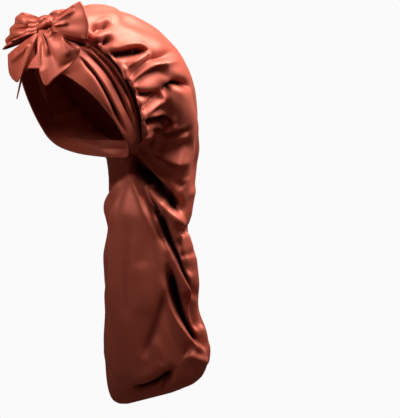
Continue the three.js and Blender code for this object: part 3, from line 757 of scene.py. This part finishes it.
# %% Loops and their creases
TIE_CLOTH = 1.6
# Creases of the tie this deep get the full painted shade
TIE_DEEPEST = 6.0
LOOPS = {
    "bow_loop_left": {
        "root": (17.6, -80, 101), "root_half": 8, "top": (56, -75, 129), "bottom": (62, -70, 83),
        "swell": 0.14, "belly": 5, "root_belly": 3, "flutes": 2.5, "flute_height": 0.5,
    },
    "bow_loop_right": {
        "root": (-11.6, -80, 99), "root_half": 8, "top": (-50, -74, 115), "bottom": (-74, -79, 69),
        "swell": 0.08, "belly": 10, "root_belly": 3, "flutes": 3.5, "flute_height": 2.4,
    },
}
LOOP_CREASES = {
    # places as across from -1 to 1 and share of the way round; height, reach, sharpness, lean
    "bow_loop_left": (
        (((0, 0.07), (0.3, 0.17), (0.467, 0.25), (0.7, 0.35)), -7, 1.6, 1.1, 0),
        (((-0.283, 0.09), (-0.033, 0.19), (-0.05, 0.26)), -6, 1.4, 1.1, 0),
        (((0.283, 0.13), (0.75, 0.24), (0.967, 0.36)), 3.5, 3, 1.2, 0),
        (((-1, 0.15), (-1, 0.28), (-0.983, 0.44)), 3, 3, 1.2, 0),
    ),
    "bow_loop_right": (
        (((-1, 0.29), (-1, 0.19), (-0.733, 0.1)), -7, 2, 1.1, 0),
        (((-1, 0.27), (-1, 0.17), (-0.55, 0.1)), 2.5, 2.4, 1.2, 0),
        (((-0.1, 0.43), (-0.4, 0.24), (-0.483, 0.17), (-0.1, 0.12)), -6, 1.7, 1.1, 0),
        (((-0.667, 0.4), (-0.767, 0.26), (-0.667, 0.19), (-0.317, 0.11)), 5, 3, 1.1, 0),
        (((0.05, 0.37), (-0.017, 0.25), (-0.05, 0.18), (0.2, 0.12)), 3.5, 2.6, 1.2, 0),
        (((0.767, 0.35), (0.717, 0.22), (0.45, 0.15)), -4.5, 1.6, 1.1, 0),
        (((0.45, 0.43), (0.367, 0.23), (0.133, 0.12)), -3, 2, 1.1, 0),
    ),
}
print(sum(len(creases) for creases in LOOP_CREASES.values()), "creases in the loops")

# %% Building the loops
LOOP_AROUND = 120
LOOP_ACROSS = 60
LOOP_STEPS = (0.02, 0.01)
LOOP_EDGE_FADE = 0.06
# How fast the belly of a loop grows out of the knot, and how flat it ends at the bend
BELLY_START = 0.35
BELLY_FLAT_END = 0.3
LOOP_FLAT = (0.05, 0.10)
FORWARD = np.array((0.0, -1.0, 0.0))


def loop_surface(loop):
    """The cloth of one loop, at a place across it from -1 to 1 and a share of the way round."""
    root, top, bottom = (np.array(loop[key], dtype=float) for key in ("root", "top", "bottom"))

    def surface(across, share):
        across = np.asarray(across, dtype=float)[..., None]
        share = np.asarray(share, dtype=float)[..., None]
        reach = (1 - np.cos(2 * np.pi * share)) / 2
        start = root + across * loop["root_half"] * np.array((0.0, 0.0, 1.0))
        bend = bottom + (top - bottom) * (across + 1) / 2
        swell = 1 + loop["swell"] * (1 - across ** 2)
        flat_end = (1 - reach) ** BELLY_FLAT_END
        belly = loop["belly"] * np.sin(2 * np.pi * share) * np.abs(reach) ** BELLY_START * flat_end
        parted = loop["root_belly"] * np.cos(np.pi * share)
        flute = loop["flute_height"] * np.sin(loop["flutes"] * np.pi * across) * np.sin(np.pi * share)
        return start + (bend - start) * reach * swell + FORWARD * (belly + parted + flute)

    return surface


def loop_layer(loop, creases, outward, depth, share_of_points):
    """Points and painted fold shade of one side. The right loop's grid runs the other way, to face out.
    """
    base_surface = loop_surface(loop)

    def surface(across, share):
        return base_surface(outward * across, share)

    shares = np.linspace(0, 1, LOOP_AROUND // share_of_points + 1)
    acrosses = np.linspace(-1, 1, LOOP_ACROSS // share_of_points + 1)
    share, across = np.meshgrid(shares, acrosses, indexing="ij")
    base = surface(across, share)
    normal = facing(surface, across, share, *LOOP_STEPS)
    turned = [([(outward * place, share) for place, share in places], *sizes)
              for places, *sizes in creases]
    heights, slides, sunk = fold_cloth(base, turned, surface, LOOP_STEPS)
    shown = fade_ends(LOOP_EDGE_FADE, share)
    points = base + normal * (heights * shown - depth)[..., None] + slides
    return points, painted_fold_shade(sunk, TIE_DEEPEST)


loops = []
for name, loop in LOOPS.items():
    outward = 1 if loop["root"][0] > 0 else -1
    creases = LOOP_CREASES[name]
    face, hollow = loop_layer(loop, creases, outward, 0, 1)
    back, _ = loop_layer(loop, creases, outward, TIE_CLOTH, 2)
    piece = cloth_wall(name + "_satin", face, back, hollow, *LOOP_FLAT, ring=False)
    measure(piece)
    loops.append(piece)

# %% [markdown]
# ## The bow's tails
#
# A tail is the end of the tie, which falls from under the knot. It fans out of the knot in ribs,
# with a valley between each pair, and ends in a cut edge.

# %% Tails and their creases
TAILS = {
    "bow_tail_left": {
        "ribs": (
            # root x, y, z, end x, y, z and how far the rib bellies forward
            (-3.3, -86.9, 93.2, 15.1, -101.4, 33.8, 2),
            (-1.2, -88.3, 93.7, 17.8, -99.8, 27.5, 6),
            (1.2, -88.9, 94, 22.1, -96.9, 25.6, 7),
            (4.8, -89, 94.2, 28.7, -94.2, 32.5, 3),
            (8.3, -88.7, 94.1, 36.1, -89.6, 39.4, 1),
            (11.8, -87.9, 93.5, 44, -84, 47.2, 6),
            (14.3, -86.6, 92.8, 50.7, -79, 56.2, 6),
            (16.5, -85, 91.7, 54.7, -75, 66.2, 1),
            (18.2, -83.8, 90.9, 54.6, -73.2, 73.1, -1),
            (19, -83.2, 90.2, 50.1, -75.4, 77.4, 3),
        ),
    },
    "bow_tail_right": {
        "ribs": (
            (-11, -84, 88.8, -57, -89, 63, 3),
            (-9.5, -87, 89.5, -50, -93, 40, 5),
            (-8, -87.5, 90, -35, -95, 29, 4),
            (-6, -87, 90, -24, -101, 34, 2),
            (-4.5, -86, 90, -37, -95, 8.5, 4),
        ),
    },
}
TAIL_CREASES = {
    # places as share of the way across the ribs and down them; height, reach, sharpness, lean
    "bow_tail_left": (
        (((0.419, 0), (0.394, 0.18), (0.381, 0.37), (0.362, 0.55)), -6, 2.6, 1.2, 0),
        (((0.644, 0), (0.706, 0.03), (0.619, 0.23)), -4, 1.8, 1.1, 0),
        (((0.812, 0.23), (0.738, 0.49), (0.7, 0.71), (0.662, 0.86)), -6, 3.5, 1.2, 0),
        (((0.769, 0.35), (0.75, 0.53), (0.738, 0.71), (0.725, 0.88)), -6.5, 1.8, 1.1, 0),
        (((0.819, 0.29), (0.756, 0.57), (0.7, 0.83)), 3.5, 1.6, 1.2, 0),
        (((0.844, 0.97), (0.719, 0.99), (0.613, 0.95), (0.463, 0.85)), 4, 3.2, 1.2, 0),
        (((0.319, 0.21), (0.256, 0.47), (0.212, 0.73)), 2.5, 3, 1.3, 0),
    ),
    "bow_tail_right": (
        (((0.381, 0.15), (0.206, 0.37), (0.113, 0.72)), 2.5, 2.6, 1.2, 0),
        (((0.806, 0.21), (0.431, 0.36), (0.281, 0.57), (0.15, 0.89)), -5, 1.6, 1.2, 0),
        (((0.994, 0.2), (0.981, 0.34), (1, 0.47), (1, 0.58)), -5, 1.8, 1.4, 0),
    ),
}
print(sum(len(creases) for creases in TAIL_CREASES.values()), "creases in the tails")

# %% Building the tails
TAIL_ALONG = 70
TAIL_ACROSS = 90
TAIL_STEPS = (0.02, 0.02)
# A tail's edges face the way that the cloth faces this far in
TAIL_INSIDE = (0.03, 0.97)
TAIL_ROOT_FADE = 0.1
TAIL_FLATS = {"bow_tail_left": (0.055, 0.062), "bow_tail_right": (0.05, 0.055)}


def tail_surface(ribs):
    """The cloth of one tail, at a place across its ribs and a share of the way down."""
    ribs = np.array(ribs, dtype=float)
    last = len(ribs) - 1

    def surface(across, share):
        across, share = np.broadcast_arrays(np.asarray(across, float), np.asarray(share, float))
        place = np.clip(across, 0, 1) * last
        index = np.minimum(np.floor(place).astype(int), last - 1)
        near = []
        for step in NEIGHBOURS:
            rib = ribs[np.clip(index + step, 0, last)]
            down = share[..., None]
            lift = rib[..., 6:7] * np.sin(np.pi * down)
            near.append(rib[..., :3] + (rib[..., 3:6] - rib[..., :3]) * down + FORWARD * lift)
        return through_four(*near, place - index)

    return surface


def tail_layer(tail, creases, depth, share_of_points):
    surface = tail_surface(tail["ribs"])
    shares = np.linspace(0, 1, TAIL_ALONG // share_of_points + 1)
    acrosses = np.linspace(0, 1, TAIL_ACROSS // share_of_points + 1)
    share, across = np.meshgrid(shares, acrosses, indexing="ij")
    base = surface(across, share)
    inside = np.clip(across, *TAIL_INSIDE)
    normal = facing(surface, inside, share, *TAIL_STEPS)
    heights, slides, sunk = fold_cloth(base, creases, surface, TAIL_STEPS)
    shown = soft_step(0, TAIL_ROOT_FADE, share)
    points = base + normal * (heights * shown - depth)[..., None] + slides * shown[..., None]
    return points, painted_fold_shade(sunk * shown, TIE_DEEPEST)


# A hem is sewn this many rows of the grid in from its edge
HEM_ROWS = 4
hem_lines = [np.vstack((band_face[HEM_ROWS], band_face[HEM_ROWS][:1]))]
tails = []
for name, tail in TAILS.items():
    creases = TAIL_CREASES[name]
    face, hollow = tail_layer(tail, creases, 0, 1)
    hem_lines.append(face[-HEM_ROWS])
    back, _ = tail_layer(tail, creases, TIE_CLOTH, 2)
    piece = cloth_wall(name + "_satin", face, back, hollow, *TAIL_FLATS[name], ring=False)
    measure(piece)
    tails.append(piece)

# %% [markdown]
# ## The knot
#
# The knot is a stretch of the same tie, wrapped once round the middle and pulled tight. It is a
# soft barrel with folds that cross it at a slant, and it shows no edge.

# %% Shape and creases of the knot
KNOT_MIDDLE = np.array((3.0, -79.0, 100.1))
KNOT_HALF = np.array((13.0, 14.6, 11.5))
KNOT_SQUARENESS = 0.85
KNOT_TILT = math.radians(36.5)
KNOT_AROUND = 128
KNOT_ACROSS = 72
KNOT_STEPS = (1.0, 0.01)
KNOT_ENDS = (0.015, 0.985)
KNOT_FLAT = (0.08, 0.03)
KNOT_CREASES = (
    # places as angle round the knot and share of its length; the fold's sizes
    (((-70, 0.72), (-46, 0.42), (-10, 0.19)), 2.5, 3, 1.3, 0),
    (((-88, 0.69), (-76, 0.49), (-64, 0.24), (-72, 0.05)), -5, 2, 1.2, 0),
    (((-38, 0.69), (-14, 0.46), (20, 0.32)), -3.5, 1.8, 1.2, 0),
    (((120, 0.2), (170, 0.5), (230, 0.8)), -2.0, 2.6, 1.4, 0),
)


def knot_surface(angle, share):
    """Angle 0 faces forward; share runs from the wearer's left end to the right end."""
    turn = np.radians(np.asarray(angle, dtype=float))
    tilt = np.pi * np.clip(np.asarray(share, dtype=float), 0, 1)

    def rounded(value):
        return np.sign(value) * np.abs(value) ** KNOT_SQUARENESS

    x = KNOT_HALF[0] * rounded(np.cos(tilt)) + 0 * turn
    y = -KNOT_HALF[1] * rounded(np.sin(tilt)) * np.cos(turn)
    z = KNOT_HALF[2] * rounded(np.sin(tilt)) * np.sin(turn)
    lean, rise = np.cos(-KNOT_TILT), np.sin(-KNOT_TILT)
    return KNOT_MIDDLE + np.stack((x, y * lean - z * rise, y * rise + z * lean), axis=-1)


angles = ring_angles(KNOT_AROUND, 1)
shares = np.linspace(*KNOT_ENDS, KNOT_ACROSS)
share, angle = np.meshgrid(shares, angles, indexing="ij")
base = knot_surface(angle, share)
normal = unit(base - KNOT_MIDDLE)
heights, _, sunk = fold_cloth(base, KNOT_CREASES, knot_surface, KNOT_STEPS)
knot_points = base + normal * (heights * np.sin(np.pi * share))[..., None]


# %% Closing the knot
def closed_barrel(name, points, hollow):
    """Closed mesh from rows of points round a barrel, with a fan of triangles at each end."""
    rows, columns = points.shape[:2]
    corners = quad_corners(rows, columns, ring=True)
    polygons = (corners[..., 0] * columns + corners[..., 1] % columns).tolist()
    places = (corners / (rows - 1, columns)).tolist()
    ends = points[[0, -1]].mean(axis=1)
    first, last = rows * columns, rows * columns + 1
    for k in range(columns):
        onward = (k + 1) % columns
        polygons.append([onward, k, first])
        places.append([(0, (k + 1) / columns), (0, k / columns), (0, (k + 0.5) / columns)])
        start = (rows - 1) * columns
        polygons.append([start + k, start + onward, last])
        places.append([(1, k / columns), (1, (k + 1) / columns), (1, (k + 0.5) / columns)])
    return cloth_object(name, (points.reshape(-1, 3), ends), polygons, places, KNOT_FLAT, hollow)


knot = closed_barrel("bow_knot_satin", knot_points, painted_fold_shade(sunk, TIE_DEEPEST))
measure(knot)

# %% [markdown]
# ## Satin
#
# Both cloths are polyester satin: long floats of filament lie side by side on the face, so light
# glances off them in broad soft bands that take the cloth's colour. Part metal and part plastic in
# the shader gives that coloured shine. The deep folds of satin go nearly black, because hardly any
# light finds its way in and out again, and here that shade is painted: the hollow attribute, kept
# when a cloth was folded, says how deep a point lies, and it darkens the cloth's colour and shine
# there. The threads are a tenth of a millimetre apart, far too fine for the picture, so the weave
# is drawn at about one and a half millimetres. The band is a stretch satin, a little darker and
# with a shine that is less like metal.

# %% Colours and nodes
def linear(hex_colour):
    """sRGB hex to linear colour, as the shader needs it."""
    parts = [int(hex_colour[k:k + 2], 16) / 255 for k in (1, 3, 5)]
    return tuple(c / 12.92 if c <= 0.04045 else ((c + 0.055) / 1.055) ** 2.4 for c in parts) + (1.0,)


def add_node(tree, kind, settings=None, values=None, links=None):
    """A node with its settings, the values of its sockets and what they are linked to."""
    made = tree.nodes.new(kind)
    for name, value in (settings or {}).items():
        setattr(made, name, value)
    for name, value in (values or {}).items():
        made.inputs[name].default_value = value
    for name, socket in (links or {}).items():
        tree.links.new(socket, made.inputs[name])
    return made


# %% The satin finish
# Sockets of a mix node's colours
MIX_FIRST, MIX_SECOND, MIX_RESULT = 6, 7, 2
# At a scale of 1 a wave turns by 20 radians in a metre along an axis, and by 14 on the diagonal
WAVE_RADIANS = 20
# All lengths in metres
WEAVE_STEP = 0.0011
WEAVE_BUMP = {"Strength": 0.12, "Distance": 0.0002}
SLUB_WIDTH = 0.0016
SLUB_LENGTH = 0.03
SLUB_BUMP = {"Strength": 0.25, "Distance": 0.0003}
SHADE_PATCH = 0.05
# Painted shade: the colour that the deepest folds are darkened to
VALLEY_SHADE_COLOUR = "#2a0d09"
SHEEN_COLOUR = "#ffb8a0"


def satin(name, light_hex, deep_hex, roughness, metallic):
    """Satin varying softly between two colours, with dark, metal-like painted shade in its valleys."""
    material = bpy.data.materials.new(name)
    material.use_nodes = True
    tree = material.node_tree
    tree.nodes.clear()
    uv = add_node(tree, "ShaderNodeUVMap", {"uv_map": "cloth"})
    place = add_node(tree, "ShaderNodeTexCoord")
    slub_scale = add_node(tree, "ShaderNodeMapping", values={
        "Scale": (1 / SLUB_WIDTH, 1 / SLUB_LENGTH, 1.0)}, links={"Vector": uv.outputs["UV"]})
    slub = add_node(tree, "ShaderNodeTexNoise", values={"Scale": 1.0, "Detail": 3.0},
                    links={"Vector": slub_scale.outputs["Vector"]})
    weave = add_node(tree, "ShaderNodeTexWave", {"bands_direction": "DIAGONAL"}, {
        "Scale": 2 * math.pi / WAVE_RADIANS / WEAVE_STEP, "Distortion": 0.6, "Detail": 1.0}, {
        "Vector": uv.outputs["UV"]})
    patch = add_node(tree, "ShaderNodeTexNoise", values={"Scale": 1 / SHADE_PATCH, "Detail": 2.0},
                     links={"Vector": place.outputs["Object"]})
    shade = add_node(tree, "ShaderNodeMix", {"data_type": "RGBA"}, {
        MIX_FIRST: linear(deep_hex), MIX_SECOND: linear(light_hex)}, {"Factor": patch.outputs["Fac"]})
    # Painted shade in the folds: the hollow attribute darkens the colour towards the valley colour and
    # raises the metal share, so that the shine there is dark too
    hollow = add_node(tree, "ShaderNodeAttribute", {"attribute_name": "hollow"})
    metal = add_node(tree, "ShaderNodeMapRange", values={"To Min": metallic, "To Max": 1.0},
                     links={"Value": hollow.outputs["Fac"]})
    sunk = add_node(tree, "ShaderNodeMix", {"data_type": "RGBA"}, {MIX_SECOND: linear(VALLEY_SHADE_COLOUR)}, {
        MIX_FIRST: shade.outputs[MIX_RESULT], "Factor": hollow.outputs["Fac"]})
    rough = add_node(tree, "ShaderNodeMapRange", values={
        "From Min": 0.3, "From Max": 0.7, "To Min": roughness - 0.03, "To Max": roughness + 0.04},
        links={"Value": slub.outputs["Fac"]})
    slub_bump = add_node(tree, "ShaderNodeBump", values=SLUB_BUMP, links={
        "Height": slub.outputs["Fac"]})
    weave_bump = add_node(tree, "ShaderNodeBump", values=WEAVE_BUMP, links={
        "Height": weave.outputs["Fac"], "Normal": slub_bump.outputs["Normal"]})
    tangent = add_node(tree, "ShaderNodeTangent", {"direction_type": "UV_MAP", "uv_map": "cloth"})
    shader = add_node(tree, "ShaderNodeBsdfPrincipled", values={
        "IOR": 1.5, "Specular IOR Level": 0.5, "Anisotropic": 0.45,
        "Sheen Weight": 0.1, "Sheen Roughness": 0.4, "Sheen Tint": linear(SHEEN_COLOUR)}, links={
        "Metallic": metal.outputs["Result"],
        "Base Color": sunk.outputs[MIX_RESULT], "Roughness": rough.outputs["Result"],
        "Normal": weave_bump.outputs["Normal"], "Tangent": tangent.outputs["Tangent"]})
    add_node(tree, "ShaderNodeOutputMaterial", links={"Surface": shader.outputs["BSDF"]})
    return material


bag_finish = satin("polyester_satin_weave", "#cc6a53", "#b95744", roughness=0.55, metallic=0.36)
band_finish = satin("stretch_satin_weave", "#b4543d", "#a54a36", roughness=0.52, metallic=0.32)
bag.data.materials.append(bag_finish)
for piece in (band, knot, *loops, *tails):
    piece.data.materials.append(band_finish)

# %% [markdown]
# ## Hem stitches
#
# The band's free edge and the ends of the tie are turned under and sewn with one row of thread.
# Stitches repeat along a path, so Geometry Nodes sets them: it turns each hem line into a curve,
# measures even steps along it and puts a short rounded stitch on each step, turned along the hem.

# %% Nodes that sew a hem
STITCH_PITCH = 0.0034
STITCH_RADII = (0.0003, 0.0003, 0.0012)
STITCH_SEED = 5
STITCH_UNEVENNESS = 0.2


def stitch_nodes(thread):
    tree = bpy.data.node_groups.new("hem_stitches", "GeometryNodeTree")
    tree.interface.new_socket("Hem lines", in_out="INPUT", socket_type="NodeSocketGeometry")
    sizes = [tree.interface.new_socket(name, in_out="INPUT", socket_type="NodeSocketFloat")
             for name in ("Pitch", "Unevenness")]
    tree.interface.new_socket("Stitches", in_out="OUTPUT", socket_type="NodeSocketGeometry")
    given = add_node(tree, "NodeGroupInput")
    curve = add_node(tree, "GeometryNodeMeshToCurve", links={"Mesh": given.outputs["Hem lines"]})
    even = add_node(tree, "GeometryNodeResampleCurve", {"mode": "LENGTH"}, links={
        "Curve": curve.outputs["Curve"], "Length": given.outputs["Pitch"]})
    tangent = add_node(tree, "GeometryNodeInputTangent")
    turned = add_node(tree, "FunctionNodeAlignRotationToVector", {"axis": "Z"}, links={
        "Vector": tangent.outputs["Tangent"]})
    ball = add_node(tree, "GeometryNodeMeshUVSphere", values={"Segments": 6, "Rings": 4, "Radius": 1.0})
    shape = add_node(tree, "GeometryNodeTransform", values={"Scale": STITCH_RADII},
                     links={"Geometry": ball.outputs["Mesh"]})
    least = add_node(tree, "ShaderNodeMath", {"operation": "SUBTRACT"}, {0: 1.0}, {
        1: given.outputs["Unevenness"]})
    chance = add_node(tree, "FunctionNodeRandomValue", {"data_type": "FLOAT"}, {
        3: 1.0, "Seed": STITCH_SEED}, {2: least.outputs[0]})
    placed = add_node(tree, "GeometryNodeInstanceOnPoints", links={
        "Points": even.outputs["Curve"], "Instance": shape.outputs["Geometry"],
        "Rotation": turned.outputs["Rotation"], "Scale": chance.outputs[1]})
    real = add_node(tree, "GeometryNodeRealizeInstances", links={
        "Geometry": placed.outputs["Instances"]})
    dyed = add_node(tree, "GeometryNodeSetMaterial", values={"Material": thread}, links={
        "Geometry": real.outputs["Geometry"]})
    add_node(tree, "NodeGroupOutput", links={"Stitches": dyed.outputs["Geometry"]})
    return tree, [size.identifier for size in sizes]


# %% One row of stitches along each hem
thread = satin("polyester_thread", "#b4563f", "#a04832", roughness=0.55, metallic=0.3)
hem_mesh = bpy.data.meshes.new("hem_lines")
hem_edges = []
first = 0
for line in hem_lines:
    hem_edges += [(first + k, first + k + 1) for k in range(len(line) - 1)]
    first += len(line)
hem_mesh.from_pydata((np.vstack(hem_lines) * MILLIMETRE).tolist(), hem_edges, [])
guide = in_scene("hem_guide", hem_mesh)
stitch_tree, (pitch_id, uneven_id) = stitch_nodes(thread)
modifier = guide.modifiers.new("hem_stitches", "NODES")
modifier.node_group = stitch_tree
modifier[pitch_id] = STITCH_PITCH
modifier[uneven_id] = STITCH_UNEVENNESS
evaluated = guide.evaluated_get(bpy.context.evaluated_depsgraph_get())
stitch_mesh = bpy.data.meshes.new_from_object(evaluated)
guide.modifiers.remove(modifier)
bpy.data.objects.remove(guide)
stitch_mesh.name = "hem_stitches"
stitches = in_scene("hem_stitches", stitch_mesh)
measure(stitches)

# %% [markdown]
# ## Stage, light and camera
#
# The bonnet hangs in front of plain pale paper. A big soft light above and to the right rakes down
# over the folds, as in a product studio. A small one in front on the left has a grid that narrows
# its beam to the bow. The rest of the room is dim and warm, which keeps the folds dark. The camera
# looks at the wearer's left from in front, level with the bonnet.

# %% Floor
FLOOR_HEIGHT = -0.9
FLOOR_RADIUS = 14.0
FLOOR_CORNERS = 64
PALE = "#fbfafa"
floor_turns = [2 * math.pi * k / FLOOR_CORNERS for k in range(FLOOR_CORNERS)]
floor_corners = [(FLOOR_RADIUS * math.cos(turn), FLOOR_RADIUS * math.sin(turn), FLOOR_HEIGHT)
                 for turn in floor_turns]
floor_mesh = bpy.data.meshes.new("pale_floor")
floor_mesh.from_pydata(floor_corners, [], [list(range(FLOOR_CORNERS))])
floor = in_scene("pale_floor", floor_mesh)
paper = bpy.data.materials.new("matt_paper")
paper.use_nodes = True
paper.node_tree.nodes.clear()
glow = add_node(paper.node_tree, "ShaderNodeEmission", values={
    "Color": linear(PALE), "Strength": 1.0})
add_node(paper.node_tree, "ShaderNodeOutputMaterial", links={"Surface": glow.outputs["Emission"]})
floor_mesh.materials.append(paper)
floor.visible_diffuse = False
floor.visible_glossy = False
floor.visible_shadow = False

# %% Room
WARM = "#ffd8cc"
ROOM_STRENGTH = 0.09
room = bpy.data.worlds.new("studio_room")
bpy.context.scene.world = room
room.use_nodes = True
sky = room.node_tree
sky.nodes.clear()
dome = add_node(sky, "ShaderNodeBackground", values={
    "Color": linear(WARM), "Strength": ROOM_STRENGTH})
pale = add_node(sky, "ShaderNodeBackground", values={"Color": linear(PALE), "Strength": 1.0})
ray = add_node(sky, "ShaderNodeLightPath")
either = add_node(sky, "ShaderNodeMixShader", links={
    "Fac": ray.outputs["Is Camera Ray"], 1: dome.outputs["Background"], 2: pale.outputs["Background"]})
add_node(sky, "ShaderNodeOutputWorld", links={"Surface": either.outputs["Shader"]})
bpy.context.scene.view_settings.view_transform = "Standard"

# %% Camera
CAMERA_TURN = math.radians(45)
CAMERA_RISE = math.radians(2)
CAMERA_DISTANCE = 8.0
CAMERA_LENS = 551.2
CAMERA_SENSOR = 36.0
CAMERA_AIM = np.array((0.0955, 0.0955, -0.130))
away = np.array((
    math.sin(CAMERA_TURN) * math.cos(CAMERA_RISE),
    -math.cos(CAMERA_TURN) * math.cos(CAMERA_RISE),
    math.sin(CAMERA_RISE),
))
camera_data = bpy.data.cameras.new("camera")
camera_data.lens = CAMERA_LENS
camera_data.sensor_width = CAMERA_SENSOR
camera = in_scene("camera", camera_data)
camera.location = CAMERA_AIM + away * CAMERA_DISTANCE
camera.rotation_euler = (math.radians(90) - CAMERA_RISE, 0.0, CAMERA_TURN)
bpy.context.scene.camera = camera

# %% Lights
to_right = np.array((math.cos(CAMERA_TURN), math.sin(CAMERA_TURN), 0.0))
upward = np.array((0.0, 0.0, 1.0))
forward = away * (1.0, 1.0, 0.0)
LIT_MIDDLE = np.array((0.0, 0.03, 0.0))
LIGHTS = {
    # metres right of the bonnet, above it and towards the camera, and the height it is aimed at;
    # size in metres, spread in degrees, watts and colour
    "key_softbox": (0.35, 0.5, 0.08, 0.0, 0.42, 180.0, 10.0, "#fff8f8"),
    "front_softbox": (-0.32, 0.27, 0.27, 0.1, 0.2, 85.0, 0.58, "#fffafa"),
}
for name, (right, up, toward, aim, size, spread, watts, colour) in LIGHTS.items():
    light = bpy.data.lights.new(name, "AREA")
    light.shape = "SQUARE"
    light.size = size
    light.spread = math.radians(spread)
    light.energy = watts
    light.color = linear(colour)[:3]
    lamp = in_scene(name, light)
    target = LIT_MIDDLE + upward * aim
    spot = LIT_MIDDLE + to_right * right + upward * up + forward * toward
    lamp.location = spot
    lamp.rotation_euler = Vector(target - spot).to_track_quat("-Z", "Y").to_euler()

# %% [markdown]
# ## Handing the pieces over
#
# Each cloth stands for its plain solid and rides with the one body.

# %% Pieces and their bodies
STANDS_FOR = {
    bag: ("bag", "bag_satin"),
    band: ("headband", "band_satin"),
    knot: ("bow_knot", "band_satin"),
    loops[0]: ("bow_loop_left", "band_satin"),
    loops[1]: ("bow_loop_right", "band_satin"),
    tails[0]: ("bow_tail_left", "band_satin"),
    tails[1]: ("bow_tail_right", "band_satin"),
}
for piece, (node_name, slot_name) in STANDS_FOR.items():
    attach(piece, "root")
    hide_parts(node_name)
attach(stitches, "root")
